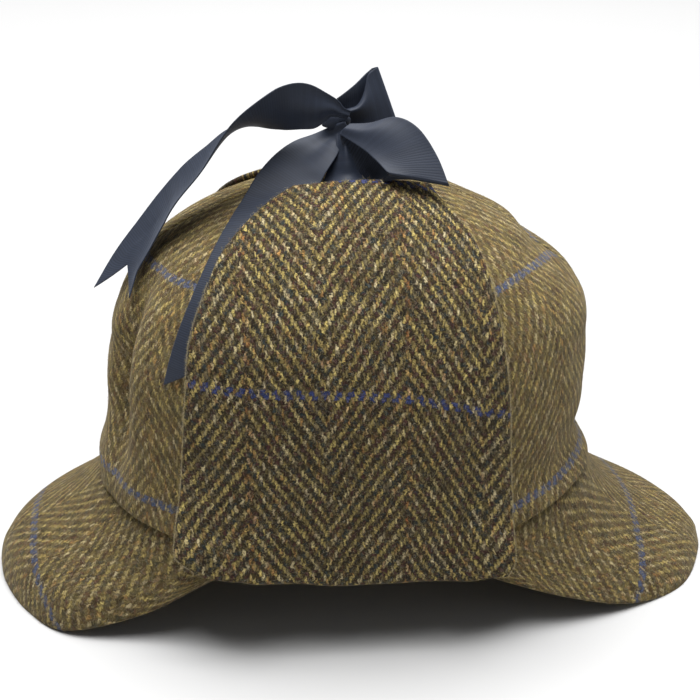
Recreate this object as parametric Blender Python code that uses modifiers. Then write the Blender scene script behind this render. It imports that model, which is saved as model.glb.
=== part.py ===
"""Deerstalker hat: a crown of six tweed panels, a front and a back peak, two ear flaps folded up against
the crown, and the flaps' ribbons tied in a bow on top.

Metres, +Z up. The peaks point along X, the front one to -X, and the ear flaps face along Y. Both peaks rest
on Z = 0. The shapes are worked out around the crown's axis, and HAT_PLACE then puts the middle of the whole
hat over the origin."""

import math

import bmesh
import bpy
from mathutils import Matrix, Vector

MM = 0.001
HAT_PLACE = (-0.0038, 0.0009, 0.0)

# Crown: its plan is a rounded oval, its side a wall up to BULGE_HEIGHT and a dome above that.
CROWN_HALF_LENGTH = 0.107
CROWN_HALF_WIDTH = 0.081
PLAN_POWER = 2.15
BULGE_HEIGHT = 0.104
DOME_HEIGHT = 0.0816
DOME_POWER = 2.06
SEAM_HEIGHT = 0.052
SEAM_TILT = 0.0024
EAR_DIP = 0.014
EAR_DIP_POWER = 4
SEAM_FLARE = 0.0055
SEAM_FLARE_REACH = 0.009
PANEL_COUNT = 6
PANEL_THICKNESS = 0.0018
PANEL_GAP = 0.00045
PANEL_COLUMNS = 7
PANEL_ROWS = 15
WALL_SHARE = 0.36
TOP_RISE = 0.985

# The smallest plan radius that takes a dent or the flare in full, so that they fade out at the very top.
DENT_FADE_RADIUS = 0.03
SURFACE_STEP = 0.0004
RAY_LENGTH = 0.16
RAY_HALVINGS = 26

# Soft dents and swellings of the crown, each centred at an azimuth and a height (degrees and mm).
CROWN_DENTS = (
    # azimuth, height, azimuth spread, height spread, depth
    (6, 157, 28, 9, 4.6),
    (0, 135, 30, 13, -3.8),
    (0, 70, 34, 13, 4.2),
    (180, 161, 24, 10, -2.0),
    (180, 122, 30, 16, 2.2),
    (180, 66, 30, 12, -3.2),
)


# Peaks: the outer edge of each half, from its middle to its end, as the top face's points (mm). A peak's
# profile leaves the crown and reaches its edge at a droop (degrees), given at its middle and at its ends, and
# each pull says how far along the profile that droop is felt.
PEAK_THICKNESS = 0.003
PEAK_GAP = 0.0005
PEAK_HALF_SWEEP = 53.5
PEAK_COLUMNS = 20
PEAK_ROWS = 9
FRONT_PEAK_EDGE = (
    # share of the half, x, y, z
    (0.0, 163.8, 0, -0.7),
    (0.2, 159.3, 19.5, -0.7),
    (0.4, 147.0, 43.2, -0.6),
    (0.6, 127.5, 62.3, 2.2),
    (0.8, 92.0, 69.6, 14.5),
    (1.0, 56.2, 74.5, 38.5),
)
FRONT_PEAK_DROOPS = (
    # middle, ends, pull
    (45, 85, 0.58),
    (85, 45, 0.45),
)
BACK_PEAK_EDGE = (
    (0.0, 171.8, 0, -0.7),
    (0.2, 166.8, 20.5, -0.7),
    (0.4, 151.5, 47.5, -0.6),
    (0.6, 124.5, 63.5, 3.0),
    (0.8, 93.0, 73.0, 14.8),
    (1.0, 54.0, 79.0, 33.5),
)
BACK_PEAK_DROOPS = (
    (67, 73, 0.56),
    (76, 33, 0.24),
)

# Ear flaps: rows from the fold at the crown's edge to the tip, measured along the cloth from FLAP_BASE (mm).
FLAP_THICKNESS = 0.0025
NEAR_FLAP_CLEARANCE = 0.0026
FAR_FLAP_CLEARANCE = 0.0007
FLAP_BASE = 0.0355
SLICE_START = 0.022
SLICE_WALL_STEPS = 9
SLICE_DOME_STEPS = 40
SLICE_DOME_SWEEP = 95
FLAP_COLUMNS = 14
FLAP_ROWS_PER_STEP = 2
FLAP_ROWS = (
    # length, reach to the front, reach to the back, fall of its front end and back end, stand-off of its ends
    (2.5, 64, 55.5, -7, 0, 11),
    (9, 71, 58.5, -5.5, 0, 10),
    (20, 72, 59.5, -3, 0, 7),
    (36, 71, 59.5, -1, 0, 3.5),
    (55, 70, 59.5, 0, 0, 1),
    (80, 68.3, 58.5, 0, 0, 0),
    (105, 65.7, 56, 0, 0, 0),
    (130, 58.5, 52.5, 1, 1, 0),
    (147, 53, 49, 2, 2, 0),
    (162, 45, 44, 3, 3, 0),
    (174, 37, 38.5, 3, 3, 0),
    (183, 29.5, 35, 3, 3, 0),
    (189, 22.5, 33.5, 2, 2, 0),
)
FLAP_END_POWER = 1.3
FLAP_STAND_FROM = 0.022
FLAP_STAND_FULL = 0.064
FLAP_FOLD_RADIUS = 0.0036
FLAP_FOLD_HALF_WIDTH = 0.036
FLAP_FOLD_FADE = 0.012
FLAP_FOLD_ROWS = 5
FLAP_FOLD_TURN = 125
FLAP_END_TURN = 30

# Ribbon: grosgrain 25 mm wide. Each row of a path is the middle of the ribbon (mm), the lean of its upper
# edge from +Z towards -Y, the turn of that edge towards +X (degrees), and the width there (mm).
RIBBON_THICKNESS = 0.001
RIBBON_COLUMNS = 3
RIBBON_ROWS_PER_STEP = 3
RUNNING_STEP = 0.05
ENDING_FROM = 0.6
LOOP_TURN_ROWS = 6
KNOT_CENTRE = (-1.5, 1.5, 209.5)
KNOT_RADII = (6.8, 6.2, 7.4)
KNOT_SEGMENTS = 14
KNOT_RINGS = 9
LONG_TAIL_PATH = (
    # x, y, z, lean, turn, width
    (-7.8, -0.3, 212.3, 2, 7, 12),
    (-13.0, -1.4, 214.4, 7, 6, 20),
    (-19.3, -0.2, 215.9, 14, 4, 24),
    (-28.2, -1.8, 215.5, 30, 2, 25),
    (-38.3, -3.6, 213.0, 52, -1, 25),
    (-49.5, -4.2, 207.5, 76, -3, 25),
    (-59.5, -5.7, 197.1, 96, -5, 25),
    (-69.8, -6.8, 186.6, 107, -6, 25),
    (-78.3, -5.2, 175.1, 109, 0, 25),
    (-86.8, -6.2, 163.1, 105, 9, 25),
    (-95.2, -9.7, 151.7, 100, 18, 25),
    (-100.9, -16.0, 141.6, 97, 30, 25),
)
LONG_TAIL_NOTCH = 0.014
SHORT_TAIL_PATH = (
    (-5.4, 4.3, 201.0, 101, 39, 11),
    (-11.1, -0.5, 198.0, 102, 45, 19),
    (-21.1, -6.0, 191.5, 104, 52, 25),
    (-34.3, -20.0, 181.0, 98, 55, 25),
    (-43.0, -34.2, 173.3, 102, 61, 25),
    (-50.7, -46.8, 163.8, 107, 64, 25),
    (-57.4, -55.6, 150.7, 111, 62, 25),
    (-63.4, -61.0, 134.6, 114, 57, 25),
    (-68.9, -64.2, 116.3, 116, 48, 25),
)
SHORT_TAIL_SLANT = 0.020
# Where the short tail comes down on the crown, its right edge first, to pass under the near flap's edge.
SHORT_TAIL_LANDING = 2.1
SHORT_TAIL_LANDING_SPREAD = 1.0
SHORT_TAIL_LANDING_FADE = 1.0
SHORT_TAIL_CLEARANCE = 0.00115
LANDING_PASSES = 3
# A loop's path is its front or upper sheet. The other sheet comes back behind it, this far away (mm).
UPPER_LOOP_DEPTH = (1.8, 4.4)
UPPER_LOOP_PATH = (
    (-2.5, 7.8, 213.4, 20, -35, 6),
    (4.0, 8.2, 213.6, 20, -45, 14),
    (11.0, 8.8, 213.8, 20, -60, 21),
    (17.2, 11.2, 215.8, 21, -72, 24.5),
)
SIDE_LOOP_DEPTH = (1.3, 3.8)
SIDE_LOOP_PATH = (
    (-0.2, -5.5, 207.8, -53, -73, 6),
    (7.8, -9.0, 209.7, -58, -77, 17),
    (15.2, -11.5, 207.2, -67, -83, 24),
    (21.0, -15.8, 202.6, -78, -89, 25),
    (24.4, -20.8, 198.0, -87, -93, 25),
    (27.2, -25.8, 193.0, -99, -99, 25),
)
NEAR_FLAP_RIBBON_PATH = (
    (0.5, -18.0, 185.2, -90, -90, 19),
    (0.5, -13.0, 186.2, -90, -90, 19),
    (1.0, -8.5, 188.6, -90, -90, 16),
    (1.6, -6.8, 194.5, -90, -90, 10.5),
    (0.3, -3.6, 202.6, -90, -90, 7),
)
FAR_FLAP_RIBBON_PATH = (
    (1.0, 9.0, 185.5, -90, -90, 19),
    (1.0, 8.2, 188.5, -90, -90, 19),
    (1.5, 7.2, 192.0, -90, -90, 15),
    (2.5, 6.0, 197.0, -90, -90, 10),
    (3.0, 5.0, 202.0, -90, -90, 7),
)

CUTTER_SIZE = (0.5, 0.4, 0.05)

TWEED_COLOUR = (0.15, 0.115, 0.045, 1.0)
TWEED_ROUGHNESS = 0.95
TWEED_SHEEN = 0.3
RIBBON_COLOUR = (0.035, 0.042, 0.058, 1.0)
RIBBON_ROUGHNESS = 0.55
RIBBON_SHEEN = 0.1


def clear_scene():
    for old in list(bpy.data.objects):
        bpy.data.objects.remove(old, do_unlink=True)


def new_collection(name, hidden=False):
    collection = bpy.data.collections.new(name)
    collection.hide_render = hidden
    bpy.context.scene.collection.children.link(collection)
    return collection


def new_material(name, colour, roughness, sheen):
    material = bpy.data.materials.new(name)
    material.use_nodes = True
    shader = material.node_tree.nodes["Principled BSDF"]
    shader.inputs["Base Color"].default_value = colour
    shader.inputs["Roughness"].default_value = roughness
    shader.inputs["Metallic"].default_value = 0.0
    shader.inputs["Sheen Weight"].default_value = sheen
    return material


def smooth(value):
    """0 below 0, 1 above 1, and an S curve between."""
    value = min(max(value, 0.0), 1.0)
    return value * value * (3 - 2 * value)


def between(rows, at):
    """The row at a position along the first column, on a smooth curve through all the rows."""
    last = len(rows) - 1
    start = max(i for i in range(last) if rows[i][0] <= at or i == 0)
    before, first, second, after = (rows[min(max(start + k, 0), last)] for k in (-1, 0, 1, 2))
    span = second[0] - first[0]
    t = (at - first[0]) / span
    found = []
    for column in range(1, len(first)):
        into = (second[column] - before[column]) * span / (second[0] - before[0])
        out = (after[column] - first[column]) * span / (after[0] - first[0])
        found.append(
            (2 * t**3 - 3 * t**2 + 1) * first[column]
            + (t**3 - 2 * t**2 + t) * into
            + (3 * t**2 - 2 * t**3) * second[column]
            + (t**3 - t**2) * out
        )
    return found


# ---------------------------------------------------------------- the crown's surface


def seam_height(azimuth):
    """Height of the crown's lower edge: lowest over the ears, and a little lower in front."""
    dip = EAR_DIP * abs(math.sin(azimuth)) ** EAR_DIP_POWER
    return SEAM_HEIGHT - dip + SEAM_TILT * math.cos(azimuth)


def wall_scale(height):
    """Size of the crown's plan at a height, as a share of its widest."""
    if height <= BULGE_HEIGHT:
        return 1.0
    share = min((height - BULGE_HEIGHT) / DOME_HEIGHT, 1.0)
    return (1 - share**DOME_POWER) ** (1 / DOME_POWER)


def dent_depth(azimuth, height):
    """How far the crown is pressed in, towards its axis."""
    depth = 0.0
    for centre, level, azimuth_spread, height_spread, deepest in CROWN_DENTS:
        turn = (math.degrees(azimuth) - centre + 180) % 360 - 180
        rise = height / MM - level
        depth += deepest * MM * math.exp(-((turn / azimuth_spread) ** 2) - (rise / height_spread) ** 2)
    return depth


def flare(azimuth, height):
    """How far the lower edge stands out over the peaks."""
    above = (height - seam_height(azimuth)) / SEAM_FLARE_REACH
    return SEAM_FLARE * math.exp(-above * above) * abs(math.cos(azimuth))


def oval_radius(azimuth):
    along = abs(math.cos(azimuth)) / CROWN_HALF_LENGTH
    across = abs(math.sin(azimuth)) / CROWN_HALF_WIDTH
    return (along**PLAN_POWER + across**PLAN_POWER) ** (-1 / PLAN_POWER)


def crown_radius(azimuth, height):
    plain = oval_radius(azimuth) * wall_scale(height)
    fade = smooth(plain / DENT_FADE_RADIUS)
    return plain + fade * (flare(azimuth, height) - dent_depth(azimuth, height))


def crown_point(azimuth, rise):
    """Point on the crown, from its lower edge at rise 0 to its top at rise 1."""
    if rise < WALL_SHARE:
        low = seam_height(azimuth)
        height = low + (BULGE_HEIGHT - low) * rise / WALL_SHARE
    else:
        angle = (rise - WALL_SHARE) / (1 - WALL_SHARE) * math.pi / 2
        height = BULGE_HEIGHT + DOME_HEIGHT * math.sin(angle) ** (2 / DOME_POWER)
    radius = crown_radius(azimuth, height)
    return Vector((radius * math.cos(azimuth), radius * math.sin(azimuth), height))


def outside(point):
    """Above 0 outside the crown, below 0 inside it."""
    azimuth = math.atan2(point.y, point.x)
    reach = math.hypot(point.x, point.y)
    top = BULGE_HEIGHT + DOME_HEIGHT
    if point.z >= top:
        return reach / CROWN_HALF_LENGTH + (point.z - top) / DOME_HEIGHT
    share = max(point.z - BULGE_HEIGHT, 0.0) / DOME_HEIGHT
    widest = oval_radius(azimuth)
    pressed = smooth(wall_scale(point.z) * widest / DENT_FADE_RADIUS)
    pushed = pressed * (flare(azimuth, point.z) - dent_depth(azimuth, point.z))
    plan = max(reach - pushed, 0.0) / widest
    return (plan**DOME_POWER + share**DOME_POWER) ** (1 / DOME_POWER) - 1


def outward(point):
    """Unit vector away from the crown's surface, by small steps along each axis."""
    slopes = []
    for axis in range(3):
        nudge = Vector((0, 0, 0))
        nudge[axis] = SURFACE_STEP
        slopes.append(outside(point + nudge) - outside(point - nudge))
    return Vector(slopes).normalized()


def side_slice(x, side):
    """The crown's outline in the plane at x, from its lower edge on one side over to its middle."""
    points = []
    for step in range(SLICE_WALL_STEPS):
        height = SLICE_START + (BULGE_HEIGHT - SLICE_START) * step / SLICE_WALL_STEPS
        points.append(ray_hit(Vector((x, 0, height)), Vector((0, side, 0))))
    for step in range(SLICE_DOME_STEPS + 1):
        angle = math.radians(SLICE_DOME_SWEEP * step / SLICE_DOME_STEPS)
        direction = Vector((0, side * math.cos(angle), math.sin(angle)))
        points.append(ray_hit(Vector((x, 0, BULGE_HEIGHT)), direction))
    return points


def ray_hit(start, direction):
    """Where a ray from inside the crown meets its surface."""
    near, far = 0.0, RAY_LENGTH
    for _ in range(RAY_HALVINGS):
        middle = (near + far) / 2
        if outside(start + direction * middle) < 0:
            near = middle
        else:
            far = middle
    return start + direction * near


# ---------------------------------------------------------------- meshes


def grid_object(name, across, along, place, collection, material):
    """A grid of across x along cells whose points are placed by a function of (0..1, 0..1)."""
    form = bmesh.new()
    bmesh.ops.create_grid(form, x_segments=across, y_segments=along, size=0.5)
    for vertex in form.verts:
        vertex.co = place(vertex.co.x + 0.5, vertex.co.y + 0.5)
    mesh = bpy.data.meshes.new(name)
    form.to_mesh(mesh)
    form.free()
    mesh.shade_smooth()
    mesh.materials.append(material)
    made = bpy.data.objects.new(name, mesh)
    made.location = HAT_PLACE
    collection.objects.link(made)
    return made


def thicken(made, thickness, offset):
    shell = made.modifiers.new("wall", "SOLIDIFY")
    shell.thickness = thickness
    shell.offset = offset
    shell.use_even_offset = True
    shell.use_quality_normals = True


def face_outwards(made, middle):
    """Turns the sheet so that its normals point away from a point."""
    form = bmesh.new()
    form.from_mesh(made.data)
    form.normal_update()
    lean = sum((face.calc_center_median() - middle).dot(face.normal) for face in form.faces)
    if lean < 0:
        bmesh.ops.reverse_faces(form, faces=form.faces)
    form.to_mesh(made.data)
    form.free()


def crown_panel(index, collection, material):
    """One of the crown's panels, between two seams that run from its lower edge to its top."""
    width = 2 * math.pi / PANEL_COUNT
    first = index * width

    def place(across, along):
        rise = along * TOP_RISE
        middle = crown_point(first + width / 2, rise)
        half_gap = PANEL_GAP / 2 / max(math.hypot(middle.x, middle.y), 0.001)
        azimuth = first + half_gap + (width - 2 * half_gap) * across
        return crown_point(azimuth, rise)

    panel = grid_object(f"crown_panel_{index + 1}", PANEL_COLUMNS, PANEL_ROWS, place, collection, material)
    face_outwards(panel, Vector((0, 0, SEAM_HEIGHT)))
    thicken(panel, PANEL_THICKNESS, -1)
    return panel


def peak(name, facing, edge, droops, collection, material, cutter):
    """A drooping peak on one end of the crown. Its lower edge is flattened where it rests."""

    def place(across, along):
        share = 2 * across - 1
        azimuth = math.radians(PEAK_HALF_SWEEP) * share + (0 if facing > 0 else math.pi)
        height = seam_height(azimuth) - PEAK_GAP
        radius = crown_radius(azimuth, height)
        start = Vector((radius * math.cos(azimuth), radius * math.sin(azimuth), height))
        x, y, z = between(edge, abs(share))
        sign = math.copysign(1, share) * facing
        end = Vector((facing * x, sign * y, z)) * MM
        run = end - start
        flat = Vector((run.x, run.y, 0)).normalized()
        (first, first_pull), (last, last_pull) = (
            (math.radians(middle + (side - middle) * share**2), pull) for middle, side, pull in droops
        )
        leave = flat * math.cos(first) - Vector((0, 0, math.sin(first)))
        arrive = flat * math.cos(last) - Vector((0, 0, math.sin(last)))
        leave *= first_pull * run.length
        arrive *= last_pull * run.length
        corners = (start, start + leave, end - arrive, end)
        weights = ((1 - along) ** 3, 3 * along * (1 - along) ** 2, 3 * along**2 * (1 - along), along**3)
        return sum((corner * weight for corner, weight in zip(corners, weights)), Vector((0, 0, 0)))

    made = grid_object(name, PEAK_COLUMNS, PEAK_ROWS, place, collection, material)
    face_outwards(made, Vector((0, 0, -0.1)))
    thicken(made, PEAK_THICKNESS, -1)
    cut = made.modifiers.new("rest", "BOOLEAN")
    cut.operation = "DIFFERENCE"
    cut.object = cutter
    return made


def ear_flap(name, side, clearance, collection, material):
    """An ear flap folded up: it rolls out from under the crown's edge and lies up against the crown."""
    slices = {}
    numbered = [(i, *values) for i, values in enumerate(FLAP_ROWS)]
    rows = (len(FLAP_ROWS) - 1) * FLAP_ROWS_PER_STEP + FLAP_FOLD_ROWS

    def along_crown(x, length, stand_off):
        key = round(x, 5)
        if key not in slices:
            line = side_slice(key, side)
            slices[key] = (line, [outward(point) for point in line])
        line, normals = slices[key]
        raised = [point + normal * stand_off for point, normal in zip(line, normals)]
        length += FLAP_BASE - raised[0].z
        for first, second in zip(raised, raised[1:]):
            step = (second - first).length
            if length <= step:
                return first.lerp(second, length / step)
            length -= step
        return raised[-1]

    def place(across, along):
        share = 2 * across - 1
        row = along * rows - FLAP_FOLD_ROWS
        at = max(row, 0) / FLAP_ROWS_PER_STEP
        length, front, back, *falls, stand = (value * MM for value in between(numbered, at))
        x = (front + back) / 2 * share + (back - front) / 2
        standing = stand * smooth((abs(x) - FLAP_STAND_FROM) / (FLAP_STAND_FULL - FLAP_STAND_FROM))
        length -= falls[share > 0] * abs(share) ** FLAP_END_POWER
        point = along_crown(x, length, clearance + FLAP_THICKNESS + standing)
        if row >= 0:
            return point
        fading = smooth((abs(x) - FLAP_FOLD_HALF_WIDTH) / FLAP_FOLD_FADE)
        full = FLAP_FOLD_TURN - (FLAP_FOLD_TURN - FLAP_END_TURN) * fading
        turn = math.radians(full) * -row / FLAP_FOLD_ROWS
        back = FLAP_FOLD_RADIUS * (1 - math.cos(turn))
        down = FLAP_FOLD_RADIUS * math.sin(turn)
        return point + Vector((0, -side * back, -down))

    made = grid_object(name, FLAP_COLUMNS, rows, place, collection, material)
    face_outwards(made, Vector((0, 0, SEAM_HEIGHT)))
    thicken(made, FLAP_THICKNESS, -1)
    return made


def ribbon_frame(path, at, square=True):
    """Middle, width vector and running direction of a ribbon at a row position."""
    numbered = [(i, *row) for i, row in enumerate(path)]
    x, y, z, lean, turn, width = between(numbered, at)
    before = between(numbered, max(at - RUNNING_STEP, 0))
    after = between(numbered, min(at + RUNNING_STEP, len(path) - 1))
    running = Vector([after[i] - before[i] for i in range(3)]).normalized()
    lean = math.radians(lean)
    turn = math.radians(turn)
    upper = Vector((math.sin(turn) * math.sin(lean), -math.cos(turn) * math.sin(lean), math.cos(lean)))
    if square:
        upper = (upper - running * upper.dot(running)).normalized()
    return Vector((x, y, z)) * MM, upper * width * MM, running


def crown_distance(point):
    """Distance from the crown's surface and the unit vector away from it."""
    away = outward(point)
    step = away * SURFACE_STEP
    slope = (outside(point + step) - outside(point - step)) / (2 * SURFACE_STEP)
    return outside(point) / slope, away


def ribbon(name, path, collection, material, notch=0.0, slant=0.0, landing=None):
    """A strip of ribbon along a path, with a notched or slanted far end. Past a landing it lies on the crown."""
    rows = (len(path) - 1) * RIBBON_ROWS_PER_STEP

    def place(across, along):
        middle, upper, running = ribbon_frame(path, along * (len(path) - 1))
        share = across - 0.5
        point = middle + upper * share
        ending = smooth((along - ENDING_FROM) / (1 - ENDING_FROM))
        point += running * ending * (2 * abs(share) - 1) * notch
        point -= running * ending * (share + 0.5) * slant
        if landing is not None:
            at = along * (len(path) - 1) - landing + SHORT_TAIL_LANDING_SPREAD * share
            pressed = smooth(at / SHORT_TAIL_LANDING_FADE)
            for _ in range(LANDING_PASSES):
                distance, away = crown_distance(point)
                short = SHORT_TAIL_CLEARANCE - distance
                point += away * short * (1 if short > 0 else pressed)
        return point

    columns = RIBBON_COLUMNS + 1 if notch or landing else RIBBON_COLUMNS
    made = grid_object(name, columns, rows, place, collection, material)
    thicken(made, RIBBON_THICKNESS, 0)
    return made


def loop(name, path, depth, collection, material):
    """A loop of ribbon: one sheet out along a path, a turn at its end, and the other sheet back behind it."""
    steps = (len(path) - 1) * RIBBON_ROWS_PER_STEP
    rows = 2 * steps + LOOP_TURN_ROWS

    def place(across, along):
        row = along * rows
        turned = min(max((row - steps) / LOOP_TURN_ROWS, 0.0), 1.0)
        out = min(row, steps) if turned < 1 else rows - row
        middle, upper, running = ribbon_frame(path, out / RIBBON_ROWS_PER_STEP, square=False)
        away = upper.cross(running).normalized()
        near_knot, at_end = depth
        gap = (near_knot + (at_end - near_knot) * smooth(out / steps)) * MM
        swing = math.pi * turned
        point = middle + upper * (across - 0.5)
        return point + away * gap * (1 - math.cos(swing)) / 2 + running * gap * math.sin(swing) / 2

    made = grid_object(name, RIBBON_COLUMNS, rows, place, collection, material)
    thicken(made, RIBBON_THICKNESS, 0)
    return made


def bow_knot(collection, material):
    """The wrap of ribbon in the middle of the bow, a small rounded lump."""
    form = bmesh.new()
    bmesh.ops.create_uvsphere(form, u_segments=KNOT_SEGMENTS, v_segments=KNOT_RINGS, radius=1.0)
    size = Matrix.Diagonal((*(radius * MM for radius in KNOT_RADII), 1))
    bmesh.ops.transform(form, matrix=Matrix.Translation(Vector(KNOT_CENTRE) * MM) @ size, verts=form.verts)
    mesh = bpy.data.meshes.new("bow_knot")
    form.to_mesh(mesh)
    form.free()
    mesh.shade_smooth()
    mesh.materials.append(material)
    made = bpy.data.objects.new("bow_knot", mesh)
    made.location = HAT_PLACE
    collection.objects.link(made)
    return made


def floor_cutter(collection):
    """A slab under Z = 0 that flattens the peaks where they would reach below it."""
    form = bmesh.new()
    bmesh.ops.create_cube(form, size=1.0)
    size = Matrix.Diagonal((*CUTTER_SIZE, 1))
    middle = Vector((0, 0, -CUTTER_SIZE[2] / 2))
    bmesh.ops.transform(form, matrix=Matrix.Translation(middle) @ size, verts=form.verts)
    mesh = bpy.data.meshes.new("rest_cutter")
    form.to_mesh(mesh)
    form.free()
    cutter = bpy.data.objects.new("rest_cutter", mesh)
    cutter.hide_render = True
    cutter.display_type = "WIRE"
    collection.objects.link(cutter)
    return cutter


def main():
    clear_scene()
    hat = new_collection("deerstalker_hat")
    cutters = new_collection("cutters", hidden=True)
    tweed = new_material("tweed", TWEED_COLOUR, TWEED_ROUGHNESS, TWEED_SHEEN)
    grosgrain = new_material("grosgrain", RIBBON_COLOUR, RIBBON_ROUGHNESS, RIBBON_SHEEN)
    for index in range(PANEL_COUNT):
        crown_panel(index, hat, tweed)
    cutter = floor_cutter(cutters)
    peak("front_peak", -1, FRONT_PEAK_EDGE, FRONT_PEAK_DROOPS, hat, tweed, cutter)
    peak("back_peak", 1, BACK_PEAK_EDGE, BACK_PEAK_DROOPS, hat, tweed, cutter)
    ear_flap("near_ear_flap", -1, NEAR_FLAP_CLEARANCE, hat, tweed)
    ear_flap("far_ear_flap", 1, FAR_FLAP_CLEARANCE, hat, tweed)
    ribbon("near_flap_ribbon", NEAR_FLAP_RIBBON_PATH, hat, grosgrain)
    ribbon("far_flap_ribbon", FAR_FLAP_RIBBON_PATH, hat, grosgrain)
    bow_knot(hat, grosgrain)
    loop("bow_loop_upper", UPPER_LOOP_PATH, UPPER_LOOP_DEPTH, hat, grosgrain)
    loop("bow_loop_side", SIDE_LOOP_PATH, SIDE_LOOP_DEPTH, hat, grosgrain)
    ribbon("ribbon_tail_long", LONG_TAIL_PATH, hat, grosgrain, notch=LONG_TAIL_NOTCH)
    ribbon(
        "ribbon_tail_short",
        SHORT_TAIL_PATH,
        hat,
        grosgrain,
        slant=SHORT_TAIL_SLANT,
        landing=SHORT_TAIL_LANDING,
    )


if __name__ == "__main__":
    main()
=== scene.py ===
"""Dresses the deerstalker hat: herringbone tweed crown, peaks and ear flaps, and the grosgrain bow on top.

The file is laid out as a Blender add-on with one operator for each kind of piece. Lengths are in metres
unless a comment says mm, +Z is up, the front peak points to -X and the near ear flap faces -Y."""

import math

import bpy
import numpy as np
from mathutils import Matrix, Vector


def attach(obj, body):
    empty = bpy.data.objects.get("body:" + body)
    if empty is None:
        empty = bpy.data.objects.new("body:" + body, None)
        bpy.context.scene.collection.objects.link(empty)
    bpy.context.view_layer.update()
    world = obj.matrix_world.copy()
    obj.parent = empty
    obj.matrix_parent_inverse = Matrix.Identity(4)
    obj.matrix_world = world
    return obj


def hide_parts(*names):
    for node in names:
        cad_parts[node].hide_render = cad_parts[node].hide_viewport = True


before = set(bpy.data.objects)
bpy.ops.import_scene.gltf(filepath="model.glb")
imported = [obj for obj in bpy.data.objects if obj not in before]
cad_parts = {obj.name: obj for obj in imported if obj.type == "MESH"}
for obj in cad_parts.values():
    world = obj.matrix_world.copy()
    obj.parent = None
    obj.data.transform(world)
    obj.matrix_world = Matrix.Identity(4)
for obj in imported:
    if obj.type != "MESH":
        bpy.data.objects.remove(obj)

bl_info = {
    "name": "Deerstalker hat",
    "version": (1, 0, 0),
    "blender": (4, 5, 0),
    "location": "View3D > Sidebar > Hat",
    "description": "Makes a tweed deerstalker hat with a ribbon bow",
    "category": "Add Mesh",
}

MM = 0.001
HAT_PLACE = np.array((-0.0038, 0.0009, 0.0))

# ---- the hat's form, as its solids have it

CROWN_HALF_LENGTH = 0.107
CROWN_HALF_WIDTH = 0.081
PLAN_POWER = 2.15
BULGE_HEIGHT = 0.104
DOME_HEIGHT = 0.0816
DOME_POWER = 2.06
SEAM_HEIGHT = 0.052
SEAM_TILT = 0.0024
EAR_DIP = 0.014
EAR_DIP_POWER = 4
SEAM_FLARE = 0.0055
SEAM_FLARE_REACH = 0.009
PANEL_COUNT = 6
WALL_SHARE = 0.36
TOP_RISE = 0.997
DENT_FADE_RADIUS = 0.03
SURFACE_STEP = 0.0004
RAY_LENGTH = 0.16
RAY_HALVINGS = 26
# The crown's dents: azimuth, height, azimuth spread, height spread and depth (degrees and mm).
CROWN_DENTS = (
    (6, 157, 28, 9, 4.6),
    (0, 135, 30, 13, -3.8),
    (0, 70, 34, 13, 4.2),
    (180, 161, 24, 10, -2.0),
    (180, 122, 30, 16, 2.2),
    (180, 66, 30, 12, -3.2),
)
# Smaller folds that only the cloth has, in the same units: the upright hollow at the front's near side,
# and soft wrinkles.
CROWN_FOLDS = (
    (196, 108, 4.4, 36, 11.0),
    (207, 100, 6.0, 34, -2.0),
    (190, 92, 5, 20, -0.8),
    (342, 112, 6, 7, 1.2),
    (344, 124, 7, 5, -0.8),
    (336, 74, 7, 14, 1.0),
    (20, 96, 8, 12, 1.0),
    (160, 100, 7, 14, 1.4),
    (24, 172, 30, 6, 2.6),
    (2, 163, 26, 4.5, -1.8),
    (180, 125, 24, 6, -1.4),
    (180, 61, 32, 7, -2.6),
)
# How much each panel's weft bows up its height (per metre), and the height of its blue line in its middle.
PANEL_BOW = (0, 0, 0, 0, 0, 5.1)
PANEL_BLUE_LINE = 0.0595

# How far a peak's root lies below the crown's lower edge, and how far inside it.
PEAK_GAP = 0.0005
PEAK_TUCK = 0.003
PEAK_HALF_SWEEP = 53.5
# A peak's outer edge: share of its half, x, y and z (mm). Its droops where it leaves the crown and where it
# meets that edge: angle in the middle and at its ends (degrees), and pull as a share of its length.
FRONT_PEAK_EDGE = (
    (0.0, 163.8, 0, -0.7),
    (0.2, 159.3, 19.5, -0.7),
    (0.4, 147.0, 43.2, -0.6),
    (0.6, 127.5, 62.3, 2.2),
    (0.8, 92.0, 69.6, 14.5),
    (1.0, 56.2, 74.5, 38.5),
)
FRONT_PEAK_DROOPS = ((45, 85, 0.58), (85, 45, 0.45))
BACK_PEAK_EDGE = (
    (0.0, 171.8, 0, -0.7),
    (0.2, 166.8, 20.5, -0.7),
    (0.4, 151.5, 47.5, -0.6),
    (0.6, 124.5, 63.5, 3.0),
    (0.8, 93.0, 73.0, 14.8),
    (1.0, 54.0, 79.0, 33.5),
)
BACK_PEAK_DROOPS = ((67, 73, 0.56), (76, 33, 0.24))
# Distance of a peak's blue line from the hat's middle, and the y of its rust line.
FRONT_PEAK_LINES = (0.147, -0.035)
BACK_PEAK_LINES = (0.1355, -0.053)

# A flap is laid over slices of the crown: how far it lies off them, the height that its rows are measured
# from, and how the slices are cut.
NEAR_FLAP_CLEARANCE = 0.0026
FAR_FLAP_CLEARANCE = 0.0003
FLAP_BASE = 0.0355
SLICE_START = 0.022
SLICE_WALL_STEPS = 9
SLICE_DOME_STEPS = 40
SLICE_DOME_SWEEP = 95
SLICE_SPACING = 0.0015
SLICE_REACH = 0.078
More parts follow.
